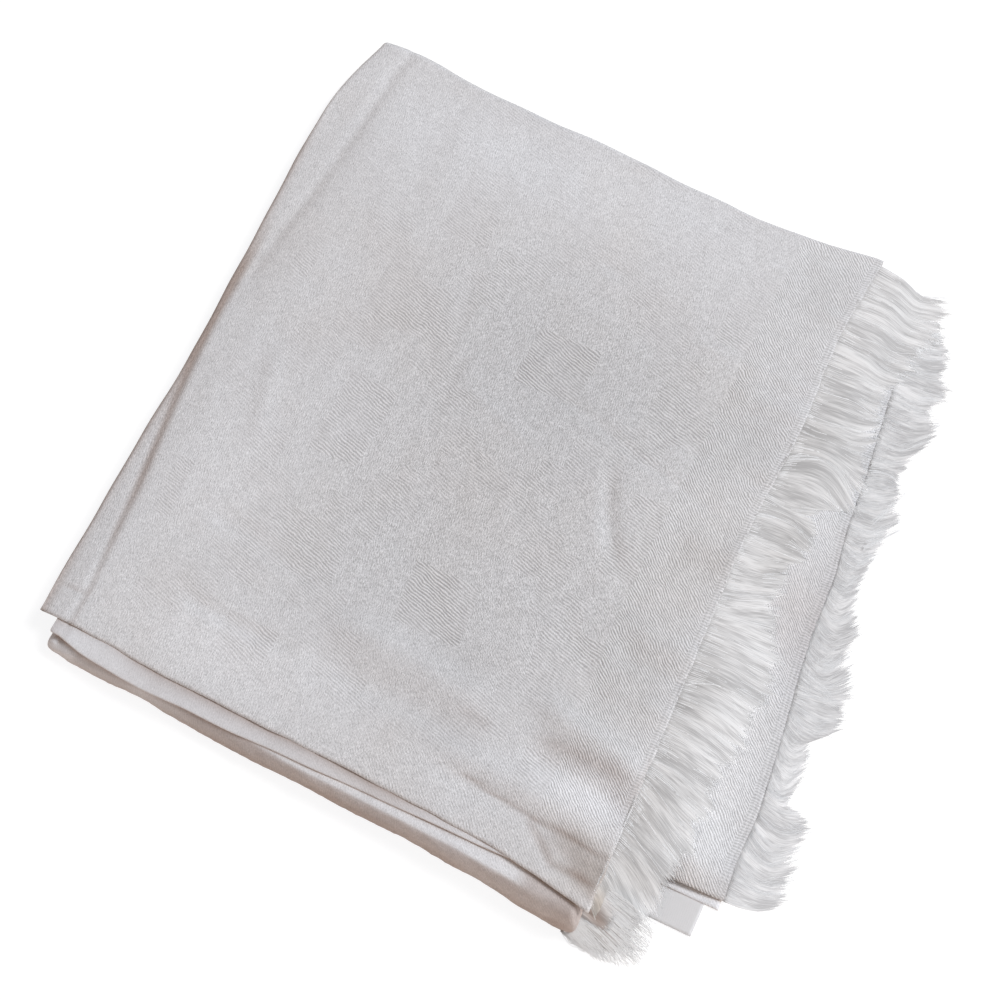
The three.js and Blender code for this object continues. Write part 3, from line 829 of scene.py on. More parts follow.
# painted warm shade along creases and folds: a line in plan, how strong the shade is, its half width, and
# how its ends come in
creaseShades = tableOf(
    ("line", "rise", "width", "ends"),
    (((-0.1975, 0.085), (-0.1960, 0.050), (-0.1945, 0.010), (-0.1915, -0.030), (-0.1865, -0.068),
     (-0.1800, -0.1055), (-0.1755, -0.133), (-0.1725, -0.157), (-0.1700, -0.175), (-0.1665, -0.202)),
     0.80, 0.0030, ((0, 0.22), (0, 0.30))),
    (((-0.1725, -0.157), (-0.1690, -0.180), (-0.1660, -0.202), (-0.1647, -0.226)),
     0.20, 0.0018, openEnds),
    (((-0.186, -0.207), (-0.172, -0.206), (-0.160, -0.205)), 0.30, 0.0010),
    (((0.105, -0.171), (0.135, -0.1705), (0.160, -0.172), (0.184, -0.176)), 0.42, 0.0050),
    (((0.178, -0.150), (0.179, -0.165), (0.178, -0.190)), 0.40, 0.0030),
    (((0.085, -0.2085), (0.109, -0.2120), (0.1295, -0.2147), (0.148, -0.2150), (0.168, -0.2174),
     (0.184, -0.2185)), 0.50, 0.0013, openEnds),
    (((0.131, -0.217), (0.1328, -0.2190), (0.1428, -0.2270), (0.151, -0.2337), (0.161, -0.2337),
     (0.177, -0.2345)), 0.42, 0.0026, openEnds),
    (((0.148, -0.2225), (0.165, -0.2255), (0.182, -0.2290)), 0.26, 0.0060, openEnds),
    (((0.164, -0.2315), (0.175, -0.2365), (0.183, -0.242)), 0.42, 0.0042, openEnds),
    (((0.062, -0.174), (0.090, -0.177)), 0.20, 0.0040),
)


def creaseHeight(crease, x, y):
    line = np.array(crease["line"])
    lengths = np.linalg.norm(np.diff(line, axis=0), axis=1)
    starts = np.concatenate([[0], np.cumsum(lengths)])
    nearest = np.full(x.shape, np.inf)
    along = np.zeros(x.shape)
    for a, b, start, length in zip(line, line[1:], starts, lengths):
        share = np.clip(((x - a[0]) * (b - a)[0] + (y - a[1]) * (b - a)[1]) / length**2, 0, 1)
        away = np.hypot(x - a[0] - share * (b - a)[0], y - a[1] - share * (b - a)[1])
        closer = away < nearest
        nearest = np.where(closer, away, nearest)
        along = np.where(closer, (start + share * length) / starts[-1], along)
    first, last = crease.get("ends", fadingEnds)
    ends = smoothStep(*first, along) * smoothStep(*last, 1 - along)
    return crease["rise"] * ends * np.exp(-(nearest / crease["width"])**2)


def topPaintedShade(x, y):
    # painted shade in the pressed creases and over the turn of the left fold
    edge = np.exp(-(np.maximum(x - leftEdge(y), 0) / 0.0042)**2) * smoothStep(0.19, 0.12, y)
    return sum(creaseHeight(crease, x, y) for crease in creaseShades) + 0.75 * edge


# where the top ply sinks or lifts as a whole: between which places across and along it comes in
topSlopes = tableOf(
    ("rise", "across", "along"),
    (-0.0016, (-0.02, 0.06), (0.180, 0.220)),  # the back edge
    (-0.0026, (-0.162, -0.198), (0.21, 0.17)),  # the left fold
    (0.0016, (-0.140, -0.175), (0.205, 0.235)),  # the back left corner
)


def topRelief(x, y):
    rise = sum(creaseHeight(crease, x, y) for crease in topCreases + leftCreases)
    for slope in topSlopes:
        rise += slope["rise"] * smoothStep(*slope["across"], x) * smoothStep(*slope["along"], y)
    rise += 0.00022 * waves(x, y, 0.060, 3) + 0.00010 * waves(x, y, 0.018, 4)
    rise += 0.00008 * waves(x * 0.3, y, 0.012, 5) * smoothStep(0.05, 0.17, x)
    rise -= 0.0006 * smoothStep(0.0035, 0.0, y - frontEdge(x) - frontShift(x))
    return rise


topPly = {"columns": 176, "rows": 204, "rollSteps": 10, "rollTurn": 150, "rollRadius": 0.004,
          "thickness": 0.0004}


def rolledLayout(settings, edges, heightOf, reliefOf):
    # layout of a ply that is flat on top and rolls under at its left and back folds
    radius, steps = settings["rollRadius"], settings["rollSteps"]
    columns, rows = settings["columns"], settings["rows"]

    def layOut(u, v):
        column, row = u * (columns + steps), (1 - v) * (rows + steps)
        left, back = np.clip(1 - column / steps, 0, 1), np.clip(1 - row / steps, 0, 1)
        s, t = np.clip((column - steps) / columns, 0, 1), np.clip((row - steps) / rows, 0, 1)
        x, y = planPoint(edges, s, t)
        size = radius(x, y) if callable(radius) else radius
        turned = np.maximum(left, back)
        angle = math.radians(settings["rollTurn"]) * turned
        away = np.maximum(np.hypot(left, back), 1e-9)
        outX, outY = -left / away, back / away
        z = heightOf(x, y) - size + size * np.cos(angle) + reliefOf(x, y) * (1 - turned)**2
        points = columnsOf(x + outX * size * np.sin(angle), y + outY * size * np.sin(angle), z)
        flatX, flatY = x + outX * size * angle, y + outY * size * angle
        clothX = flatX - patternDrift(x, y)
        clothY = flatY - 0.006 * smoothStep(-0.10, -0.21, y)
        return points, columnsOf(clothX, clothY)

    return layOut


def patternDrift(x, y):
    # the weave leans a little to the fringed side towards the front, and its header keeps to the fringe line
    lean = 0.011 * smoothStep(-0.06, -0.20, y) * smoothStep(0.170, 0.100, x)
    return lean + (fringeEdge(y) - 0.1735) * smoothStep(0.110, 0.165, x)


def topRoll(x, y):
    # the left fold is rounded, and pressed flat at its front corner
    return mix(0.0012, topPly["rollRadius"], smoothStep(-0.226, -0.150, y))


foldRadius = topPly["rollRadius"]
topEdges = {
    "left": lambda y: leftEdge(y) + topRoll(0.0, y) + 0.0003 * waves(0.0, y, 0.05, 8),
    "right": lambda y: fringeEdge(y) + 0.0003 * waves(0.0, y, 0.02, 9),
    "back": lambda x: backEdge(x) - foldRadius + 0.0026 + 0.0004 * waves(x, 0.0, 0.05, 10),
    "front": lambda x: frontEdge(x) + frontShift(x) + 0.0003 * waves(x, 0.0, 0.03, 11),
}


def makeTopPly():
    layOut = rolledLayout({**topPly, "rollRadius": topRoll}, topEdges, topHeight, topRelief)
    return sheetFromGrid("top_ply", topPly, layOut, topCloth, topPaintedShade)


topSheet = makeTopPly()
print("top ply laid")


# the folds under the top ply: each is a ply rolled under at its left and back edges
hiddenFolds = tableOf(
    ("name", "low", "high", "left", "back", "right", "front"),
    ("inner_fold", 1.0, 1.30, 0.0035, 0.0040, -0.006, -0.222),
    ("hidden_fold_1", 0.75, 1.0, 0.0070, 0.0085, 0.188, -0.224),
    ("hidden_fold_2", 0.50, 0.75, 0.0055, 0.0055, 0.191, -0.228),
    ("hidden_fold_3", 0.25, 0.50, 0.0085, 0.0075, 0.195, -0.226),
    ("hidden_fold_4", 0.0, 0.25, 0.0060, 0.0060, 0.200, -0.227),
)
foldSettings = {"columns": 70, "rows": 84, "rollSteps": 7, "rollTurn": 165, "thickness": 0.0008,
                "topBundle": 0.0089}


def hiddenHeight(x, y):
    return topHeight(x, y) + np.minimum(topRelief(x, y), 0) - foldSettings["topBundle"]


def makeHiddenFold(fold, number):
    half = (fold["high"] - fold["low"]) / 2

    def radius(x, y):
        return np.maximum(half * hiddenHeight(x, y) - 0.0001, 0.0009)

    def heightOf(x, y):
        return np.minimum(fold["high"] * hiddenHeight(x, y), topHeight(x, y) + topRelief(x, y) - 0.0030)

    def reliefOf(x, y):
        return 0.0002 * (waves(x, y, 0.05, 20 + number) - 1.5)

    def left(y):
        # it keeps clear of the rounded front left corner
        clear = -0.181 + np.maximum(-0.190 - y, 0) * 0.25
        fit = np.maximum(leftEdge(y) + fold["left"] + 0.0035, clear)
        return fit + 0.0009 * waves(0.0, y, 0.07, 30 + number)

    edges = {
        "left": left,
        "right": lambda y: fold["right"] + (fringeEdge(y) if fold["right"] < 0 else 0.0 * y),
        "back": lambda x: backEdge(x) - fold["back"] - 0.0025 + 0.0010 * waves(x, 0.0, 0.07, 40 + number),
        "front": lambda x: fold["front"] + 0.0 * x,
    }
    settings = {**foldSettings, "rollRadius": radius}
    layOut = rolledLayout(settings, edges, heightOf, reliefOf)
    return sheetFromGrid(fold["name"], settings, layOut, foldClothPaintedLighter)


hiddenSheets = [makeHiddenFold(fold, number) for number, fold in enumerate(hiddenFolds)]
print("hidden folds laid")


# the two folds that show below the top ply's front edge

stripFaces, rollFaces = cadFaces("second_panel"), cadFaces("lower_fold")
stripNose = edgeOf(stripFaces, 0, -0.168, 0.176, 0)
rollFront = edgeOf(rollFaces, 0, -0.172, 0.176, 0)
noseShift = smoothCurve([-0.172, -0.110, -0.050, 0.040, 0.113, 0.178],
                        [-0.0005, -0.0015, -0.0022, -0.0015, -0.0018, -0.0005])
# where the lower fold's top bends over to its front face, and how far it has sunk at its left end
rollBend = smoothCurve(
    [-0.174, -0.150, -0.120, -0.080, -0.050, -0.025, 0.000, 0.030, 0.080, 0.120, 0.145, 0.176],
    [-0.2405, -0.2385, -0.2390, -0.2410, -0.2425, -0.2445, -0.2465, -0.2475, -0.2490, -0.2505, -0.2520,
     -0.2540])
stripSettings = {"ends": (-0.1742, 0.178), "dome": 0.0013, "domeSteps": 4, "columns": 150, "rows": 22,
                 "height": 0.0014, "nose": 0.0010, "tuck": -0.214, "below": 0.0010, "slope": 0.06,
                 "thickness": 0.0004}
rollSettings = {"ends": (-0.1755, 0.178), "dome": 0.0065, "domeSteps": 9, "columns": 170, "rows": 34,
                "below": 0.0027, "tuck": -0.214, "thickness": 0.0005}


def underTop(x, y, below):
    # highest a ply may lie at a place that the top ply covers
    covered = smoothStep(-0.002, 0.001, y - frontEdge(x) - frontShift(x))
    return topHeight(x, y) + topRelief(x, y) - below + 0.02 * (1 - covered)


frontSpan = (-0.183, 0.177)


def edgeHeight(x):
    x = np.clip(x, *frontSpan)
    return topHeight(x, frontEdge(x)) + topRelief(x, frontEdge(x) + frontShift(x) + 0.005)


def stationsAlong(settings, share):
    # places along a fold, closer together in the rounded ends, and how far each end has closed
    low, high = settings["ends"]
    steps, dome = settings["domeSteps"] / settings["columns"], settings["dome"]
    left, right = np.clip(1 - share / steps, 0, 1), np.clip(1 - (1 - share) / steps, 0, 1)
    middle = np.clip((share - steps) / (1 - 2 * steps), 0, 1)
    bulge = np.sin(right * math.pi / 2) - np.sin(left * math.pi / 2)
    x = mix(low + dome, high - dome, middle) + dome * bulge
    closed = np.cos(np.maximum(left, right) * math.pi / 2 * 0.97)
    return x, closed


def stripLayout(u, v):
    # a flat-pressed fold: top leg, nose and bottom leg, from the tuck round and back to it
    settings = stripSettings
    x, closed = stationsAlong(settings, u)
    height = settings["height"] * mix(0.5, 1.0, closed)
    front = stripNose(x) + noseShift(x) + 0.0004 * waves(x, 0.0, 0.05, 50) + (1 - closed) * 0.0014
    leg = 0.40
    turn = np.clip((v - leg) / (1 - 2 * leg), 0, 1) * math.pi
    nose = front + settings["nose"] * (1 - np.sin(turn))
    back = np.where(v < 0.5, 1 - v / leg, 1 - (1 - v) / leg)
    y = mix(nose, settings["tuck"], np.clip(back, 0, 1))
    past = np.maximum(frontEdge(np.clip(x, *frontSpan)) - y, 0)
    top = edgeHeight(x) - settings["below"] - settings["slope"] * past + 0.0003 * waves(x, y, 0.05, 51)
    top = np.minimum(top, underTop(x, y, 0.0008))
    z = top - height / 2 * (1 + np.cos(turn))
    points = columnsOf(x, y, z)
    return points, columnsOf(x, y + (v - 0.5) * 0.02)


def rollLayout(u, v):
    # top leg, bend, sloping front face, nose and a short turn under, down to the surface
    settings = rollSettings
    x, closed = stationsAlong(settings, u)
    sunk = 0.0030 * smoothStep(-0.135, -0.165, x)
    top = edgeHeight(x) - settings["below"] - sunk + 0.0002 * waves(x, 0.0, 0.05, 60)
    top = top * mix(0.55, 1.0, closed)
    front = rollFront(x) + 0.0004 * waves(x, 0.0, 0.045, 61) + (1 - closed) * 0.0035
    bend = np.maximum(rollBend(x) + 0.0005 * waves(x, 0.0, 0.04, 62), front + 0.0022)
    share = np.clip((1 - v - 0.25) / 0.60, 0, 1)
    controls = ((bend + 0.0025, 1.0), (bend - 0.0002, 1.0), (mix(bend, front, 0.72), 0.90),
                (front - 0.0003, 0.50), (front, 0.12), (front + 0.0025, 0.02))
    y, z = np.zeros(x.shape), np.zeros(x.shape)
    last = len(controls) - 1
    for k, (across, height) in enumerate(controls):
        weight = math.comb(last, k) * share**k * (1 - share)**(last - k)
        y, z = y + weight * across, z + weight * height * top
    y = mix(y, settings["tuck"], np.clip(1 - (1 - v) / 0.25, 0, 1))
    y = mix(y, front + 0.020, np.clip(1 - v / 0.15, 0, 1))
    pucker = (0.0003 * waves(x, z * 2, 0.014, 63) + 0.0002 * waves(x, z, 0.006, 64)) * np.sin(np.pi * share)
    z = np.minimum(z, underTop(x, y, 0.0025))
    points = columnsOf(x, y - pucker, np.maximum(z, groundGap))
    clothY = -0.036 * np.clip((1 - v) / 0.25, 0, 1) - 0.027 * share - 0.020 * np.clip(1 - v / 0.15, 0, 1)
    return points, columnsOf(x, clothY)


def stripPaintedShade(x, y):
    # painted warm shade on the strip close to the top ply's edge, and over its left end
    past = np.maximum(frontEdge(np.clip(x, *frontSpan)) + frontShift(x) - y, 0)
    broad = 0.58 * smoothStep(-0.150, -0.100, x) * smoothStep(0.100, 0.050, x) * np.exp(-past / 0.0080)
    return broad + 0.32 * np.exp(-past / 0.0022) + 0.35 * smoothStep(-0.160, -0.175, x)


def rollPaintedShade(x, y):
    past = np.maximum(stripNose(x) + noseShift(x) - y, 0)
    # painted shade close under the strip, in the wedge at the left, and along the surface
    near = 0.26 * np.exp(-past / 0.0012) * smoothStep(0.145, 0.125, x)
    wedge = 0.30 * smoothStep(-0.160, -0.150, x) * smoothStep(-0.105, -0.125, x)
    low = 0.30 * smoothStep(0.0025, 0.0, y - rollFront(x))
    # painted shade on the front face from the bend down, and on the end beside the corner fringe
    high = 0.0012 * smoothStep(-0.02, 0.03, x) * smoothStep(0.125, 0.095, x)
    face = 0.64 * smoothStep(0.0018, -0.0006, y - rollBend(x) - high) * smoothStep(-0.125, -0.050, x)
    end = 0.60 * smoothStep(0.134, 0.147, x) + 0.17 * smoothStep(0.156, 0.168, x)
    return near + wedge + low + np.maximum(face, end)


stripSheet = sheetFromGrid("second_fold", stripSettings, stripLayout, foldClothPaintedLighter, stripPaintedShade)
rollSheet = sheetFromGrid("lower_fold_ply", rollSettings, rollLayout, foldClothPaintedLighter, rollPaintedShade)
print("front folds laid")


# the second fringed end, the lower ply's corner and the label

underFaces = cadFaces("under_end_panel")
underEdge = edgeOf(underFaces, 1, -0.210, 0.202, 1)


def underBase(y):
    # the second end's fringe line, eased a little past the solid's in its middle
    return underEdge(y) + 0.0042 * smoothStep(0.045, 0.0, y) * smoothStep(-0.190, -0.145, y)


underStations = np.linspace(-0.210, 0.202, 13)
underHeights = [heightAt(underFaces, fringeEdge(y) - 0.0025, y) for y in underStations]
underStart = smoothCurve(underStations, underHeights)
underRest = heightAt(underFaces, float(underEdge(0.0)) - 0.0005, 0.0)
underSettings = {"front": -0.2085, "back": 0.204, "columns": 34, "rows": 170, "thickness": 0.0011,
                 "fallFrom": 0.188}


def underHeight(x, y):
    y = np.clip(y, underSettings["front"], underSettings["back"])
    fall = smoothStep(underSettings["fallFrom"], underBase(y) - 0.003, x)
    return mix(underStart(y), underRest, fall)


def underRelief(x, y):
    return 0.0005 * waves(x * 0.4, y, 0.045, 70) + 0.0002 * waves(x, y, 0.018, 71)


def underLayout(u, v):
    y = mix(underSettings["front"], underSettings["back"], v)
    start = fringeEdge(y) - 0.0035
    x = mix(start, underBase(y) + 0.0004 * waves(0.0, y, 0.03, 72), u)
    edge = smoothStep(0.0, 0.25, u)
    y = y + 0.004 * u * smoothStep(-0.17, -0.212, y)
    z = underHeight(x, y) + (underRelief(x, y) - 0.0006) * edge
    z = mix(z, 0.0030, 0.85 * smoothStep(-0.190, -0.2085, y) * smoothStep(0.1, 0.4, u))
    return columnsOf(x, y, z), columnsOf(x - underBase(y) + 0.176, y)


underSheet = sheetFromGrid("second_end_ply", underSettings, underLayout, endClothPaintedDarker)

lowerSettings = {"left": 0.206, "front": -0.2105, "back": -0.150, "columns": 20, "rows": 30,
                 "thickness": 0.0009}


def lowerLayout(u, v):
    y = mix(lowerSettings["front"], lowerSettings["back"], v)
    x = mix(lowerSettings["left"], underBase(y) - 0.0025, u)
    z = np.full(x.shape, 0.0014) + 0.00025 * waves(x, y, 0.03, 75)
    return columnsOf(x, y, z), columnsOf(x, y)


lowerSheet = sheetFromGrid("lower_end_ply", lowerSettings, lowerLayout, foldClothPaintedLighter)

labelSettings = {"columns": 16, "rows": 18, "thickness": 0.0005, "curl": 0.0005}


def labelLayout(u, v):
    low, high = np.array(labelLow) - padMiddle, np.array(labelHigh) - padMiddle
    x, y = mix(low[0], high[0], u), mix(low[1], high[1], v)
    z = mix(low[2], high[2], 0.75) + labelSettings["curl"] * (u * (1 - v) - 0.3)
    return columnsOf(x, y, z), columnsOf(x - low[0], y - low[1])


labelSheet = sheetFromGrid("blank_label", labelSettings, labelLayout, labelTape)
print("second end and label laid")


# yarns

def tubeTemplate(sides, cuts):
    # a prism along Z, cut into rings, as arrays: which ring and which way out each corner is
    shape = bmesh.new()
    bmesh.ops.create_cone(shape, cap_ends=True, segments=sides, radius1=1, radius2=1, depth=1)
    upright = [edge for edge in shape.edges if abs(edge.verts[0].co.z - edge.verts[1].co.z) > 0.5]
    bmesh.ops.subdivide_edges(shape, edges=upright, cuts=cuts)
    shape.verts.index_update()
    places = np.array([vertex.co for vertex in shape.verts])
    faces = [[vertex.index for vertex in face.verts] for face in shape.faces]
    shape.free()
    ring = np.rint((places[:, 2] + 0.5) * (cuts + 1)).astype(int)
    # turned so that one corner points down and a flat side faces up
    angle = np.arctan2(places[:, 1], places[:, 0])
    angle += -math.pi / 2 - angle[0]
    return ring, columnsOf(np.cos(angle), np.sin(angle)), faces


def layTubes(name, routes, radii, tones, sides, material):
    # one mesh of many thin tubes; routes holds each one's points and radii its thickness at each
    ring, way, faces = tubeTemplate(sides, routes.shape[1] - 2)
    along = np.gradient(routes, axis=1)
    along /= np.maximum(np.linalg.norm(along, axis=2, keepdims=True), 1e-12)
    aside = np.cross(np.array([0.0, 0.0, 1.0]), along)
    aside /= np.maximum(np.linalg.norm(aside, axis=2, keepdims=True), 1e-9)
    upward = np.cross(along, aside)
    size = radii[:, ring, None]
    points = routes[:, ring] + size * (way[:, 0, None] * aside[:, ring] + way[:, 1, None] * upward[:, ring])
    count = len(ring)
    mesh = bpy.data.meshes.new(name)
    starts = np.arange(len(routes)) * count
    allFaces = [[corner + start for corner in face] for start in starts.tolist() for face in faces]
    mesh.from_pydata((points.reshape(-1, 3) + padMiddle).tolist(), [], allFaces)
    steps = np.linalg.norm(np.diff(routes, axis=1), axis=2)
    reach = np.concatenate([np.zeros((len(routes), 1)), np.cumsum(steps, axis=1)], axis=1)[:, ring]
    turn = np.tile((np.arctan2(way[:, 1], way[:, 0]) / (2 * math.pi)) % 1, (len(routes), 1))
    yarnPlace = columnsOf(turn.ravel(), reach.ravel())
    finishMesh(mesh, "Yarn", yarnPlace, "tone", np.repeat(tones, count), material)
    piece = addObject(name, mesh)
    piece.visible_shadow = False  # fluff that light passes
    return piece


def flowCurves(rows):
    # a table's columns as smooth curves along the fringe line
    ordered = sorted(rows, key=lambda row: row["y"])
    keys = [row["y"] for row in ordered]
    return {name: smoothCurve(keys, [row[name] for row in ordered]) for name in rows[0] if name != "y"}


# how the fringes lie, at places along the fringe line: reach of the tips, their sideways drift,
# the bow of the middle and the curl of the ends
topFlow = tableOf(
    ("y", "reach", "drift", "bow", "curl"),
    (0.216, 0.055, 0.003, -0.003, 0.002),
    (0.205, 0.061, 0.009, -0.004, 0.003),
    (0.197, 0.062, 0.007, -0.002, 0.001),
    (0.190, 0.063, 0.003, 0.000, 0.000),
    (0.175, 0.060, 0.004, 0.001, 0.000),
    (0.160, 0.057, 0.005, -0.002, 0.001),
    (0.150, 0.057, 0.004, -0.001, 0.000),
    (0.140, 0.057, 0.009, -0.002, 0.000),
    (0.130, 0.052, 0.014, -0.002, -0.001),
    (0.120, 0.050, 0.020, -0.002, -0.002),
    (0.110, 0.051, 0.019, 0.000, -0.006),
    (0.098, 0.053, 0.022, -0.003, 0.000),
    (0.088, 0.053, 0.020, -0.003, 0.000),
    (0.075, 0.055, 0.015, 0.000, -0.003),
    (0.065, 0.059, 0.010, 0.005, -0.008),
    (0.055, 0.063, 0.002, 0.011, -0.010),
    (0.045, 0.059, 0.006, 0.007, -0.006),
    (0.036, 0.053, 0.014, 0.001, -0.001),
    (0.028, 0.042, 0.013, -0.003, 0.001),
    (0.019, 0.047, 0.001, 0.003, -0.002),
    (0.008, 0.046, 0.006, 0.003, -0.002),
    (-0.003, 0.044, 0.010, 0.001, 0.000),
    (-0.018, 0.038, 0.013, -0.001, 0.001),
    (-0.035, 0.039, 0.016, 0.000, 0.000),
    (-0.050, 0.040, 0.017, 0.000, 0.000),
    (-0.060, 0.046, 0.013, 0.001, 0.000),
    (-0.070, 0.057, 0.010, 0.001, -0.001),
    (-0.082, 0.058, 0.007, 0.000, 0.000),
    (-0.095, 0.055, 0.004, 0.001, -0.001),
    (-0.110, 0.053, 0.002, 0.001, 0.000),
    (-0.135, 0.049, -0.001, 0.000, 0.000),
    (-0.150, 0.047, -0.004, 0.000, 0.000),
    (-0.160, 0.047, -0.009, -0.001, 0.000),
    (-0.170, 0.047, -0.013, -0.002, 0.001),
    (-0.180, 0.048, -0.021, -0.003, 0.000),
    (-0.190, 0.046, -0.016, -0.003, 0.001),
    (-0.205, 0.041, -0.016, -0.003, 0.000),
    (-0.215, 0.036, -0.016, -0.002, 0.000),
    (-0.228, 0.028, -0.019, -0.001, 0.000),
    (-0.248, 0.016, -0.012, -0.001, 0.000),
)
underFlow = tableOf(
    ("y", "reach", "drift", "bow", "curl"),
    (0.204, 0.016, 0.000, -0.001, 0.001),
    (0.190, 0.024, 0.000, -0.002, 0.002),
    (0.175, 0.031, 0.005, -0.002, 0.002),
    (0.160, 0.033, 0.004, -0.001, 0.002),
    (0.148, 0.040, 0.003, 0.000, 0.000),
    (0.138, 0.030, 0.003, -0.001, 0.001),
    (0.125, 0.036, 0.008, -0.002, 0.002),
    (0.108, 0.036, 0.008, -0.004, 0.005),
    (0.095, 0.029, 0.010, -0.002, 0.003),
    (0.080, 0.024, 0.006, 0.001, -0.001),
    (0.060, 0.027, 0.010, -0.001, 0.004),
    (0.045, 0.031, 0.010, -0.002, 0.004),
    (0.032, 0.025, 0.006, -0.003, 0.004),
    (0.020, 0.023, 0.003, -0.004, 0.006),
    (0.005, 0.018, 0.004, -0.004, 0.006),
    (-0.010, 0.018, 0.003, -0.006, 0.007),
    (-0.025, 0.029, 0.004, -0.006, 0.007),
    (-0.045, 0.027, 0.006, -0.007, 0.007),
    (-0.062, 0.035, 0.006, -0.005, 0.006),
    (-0.075, 0.036, 0.006, 0.000, 0.003),
    (-0.088, 0.033, 0.003, -0.007, 0.004),
    (-0.100, 0.019, 0.002, -0.004, 0.005),
    (-0.112, 0.021, 0.002, -0.005, 0.006),
    (-0.125, 0.019, 0.002, -0.007, 0.007),
    (-0.137, 0.020, 0.000, -0.003, 0.003),
    (-0.147, 0.034, 0.002, -0.004, 0.003),
    (-0.160, 0.032, 0.001, -0.007, 0.006),
    (-0.175, 0.036, 0.003, -0.006, 0.005),
    (-0.190, 0.038, 0.004, -0.003, 0.003),
    (-0.207, 0.034, 0.010, -0.001, 0.001),
)
matGrid = {"columns": 14, "thickness": 0.0002}
yarnRadius = 0.00014
topFringe = {
    "low": -0.2455, "high": 0.215, "count": 700, "rings": 10, "radius": yarnRadius, "depth": 0.0005,
    "lockWidth": (0.005, 0.014), "tuftWidth": (0.0012, 0.0032), "reachSpread": 0.05,
    "driftSpread": 0.0018, "matReach": 1.18, "mat": {**matGrid, "rows": 560},
    "strayShare": 0.03, "wiggle": 0.00035, "mostShort": 7.0,
}
underFringe = {
    **topFringe, "low": -0.205, "high": 0.203, "count": 640, "rings": 9, "lockWidth": (0.005, 0.012),
    "driftSpread": 0.0014, "mat": {**matGrid, "rows": 480},
}


def splitLine(low, high, widths):
    # uneven stretches side by side along a line: their middles, and a finder of a place's stretch
    edges = [low]
    while edges[-1] < high:
        edges.append(edges[-1] + dice.uniform(*widths))
    edges = np.array(edges)

    def findStretch(place):
        return np.clip(np.searchsorted(edges, place) - 1, 0, len(edges) - 2)

    return (edges[1:] + edges[:-1]) / 2, findStretch


def fringeRoutes(settings, flow, baseX, startHeight, layHeight):
    # a finder of where a yarn lies: it follows the flow, with its lock's and its tuft's own wander
    curves = flowCurves(flow)
    locks, findLock = splitLine(settings["low"], settings["high"], settings["lockWidth"])
    tufts, findTuft = splitLine(settings["low"], settings["high"], settings["tuftWidth"])
    lockWander, tuftWander = dice.normal(0, 1, (4, len(locks))), dice.normal(0, 1, (4, len(tufts)))
    smoothWander = [smoothCurve(locks, row) for row in lockWander]

    def route(start, t, layer, toss, stray, own):
        lock, tuft = findLock(start), findTuft(start)
        sharp, fine = 0.6 * own, own
        lockToss = [mix(curve(start), row[lock], sharp) for curve, row in zip(smoothWander, lockWander)]
        tuftToss = tuftWander[:, tuft] * fine
        spread = settings["driftSpread"]
        ownReach = 0.5 * lockToss[0] + 0.8 * tuftToss[0] + toss[0]
        ownDrift = lockToss[1] + 0.5 * tuftToss[1] + 0.30 * toss[1] + 2.5 * stray * toss[2]
        ownBow = 0.35 * lockToss[2] + 0.2 * tuftToss[2] + 0.15 * toss[2] + stray * toss[3]
        ownCurl = 0.5 * lockToss[3] + 0.7 * tuftToss[3] + 0.3 * toss[3]
        reach = curves["reach"](start) * (1 + settings["reachSpread"] * ownReach)
        drift = curves["drift"](start) + spread * ownDrift
        bow = curves["bow"](start) + spread * ownBow
        curl = curves["curl"](start) + spread * ownCurl
        gather = (locks[lock] - start) * np.clip(0.16 + 0.12 * lockWander[3][lock], 0, 0.5)
        gather = gather + (tufts[tuft] - start) * 0.38
        x = baseX(start) - 0.0015 + 0.0004 * tuftToss[1] + (reach + 0.0003) * t
        y = start + own * gather * smoothStep(0.25, 1.0, t) + drift * np.abs(t)**1.5
        y = y + bow * np.sin(np.pi * t) + curl * smoothStep(0.5, 1.0, t)
        high = startHeight(start) - 0.00022 + 0.0004 * layer
        z = mix(high, layHeight(x, y) + 0.0003 + settings["depth"] * layer, smoothStep(0.0, 0.62, t))
        rise = 0.0010 * (0.4 + 0.6 * layer) + 0.0005 * np.abs(smoothWander[0](start)) + 0.0015 * stray
        return x, y, z + rise * np.sin(np.pi * np.clip(t * 1.05, 0, 1))

    return route


def combYarns(settings, route):
    count, t = settings["count"], np.linspace(0, 1, settings["rings"])[None, :]
    start = np.sort(dice.uniform(settings["low"], settings["high"], count))[:, None]
    toss = dice.normal(0, 1, (4, count, 1))
    toss[0] = 0.35 * toss[0] - 2.5 - settings["mostShort"] * dice.random((count, 1))**2.4
    stray = 1.0 * (dice.random((count, 1)) < settings["strayShare"])
    layer = dice.random((count, 1))
    x, y, z = route(start, t, 0.36 + 0.24 * layer, toss, stray, 0.7)
    wiggle = np.sin(2 * np.pi * (t * dice.uniform(1.2, 2.8, (count, 1)) + dice.random((count, 1))))
    routes = np.stack([x, y + settings["wiggle"] * wiggle * t, np.maximum(z, groundGap)], axis=2)
    radii = settings["radius"] * dice.uniform(0.75, 1.25, (count, 1)) * (1 - 0.45 * t**3)
    return routes, radii, 0.3 + 0.7 * dice.random(count)


def layMat(name, settings, route, material):
    # the close-combed yarns under the loose ones, as one thin sheet
    def layOut(u, v):
        start = mix(settings["low"], settings["high"], v)
        long = settings["matReach"] + 0.04 * waves(start, 0.0, 0.014, 93)
        x, y, z = route(start, u * long, 0.25, np.zeros(4), 0.0, 0.0)
        ripple = 0.00014 * waves(start, 0.0, 0.010, 91) + 0.00006 * waves(start, 0.0, 0.0035, 92)
        z = z + ripple * smoothStep(0.0, 0.3, u)
        return columnsOf(x, y, np.maximum(z, matGap)), columnsOf(start, yarnLength * u)

    return sheetFromGrid(name, settings["mat"], layOut, material, lambda x, y: 0 * x)


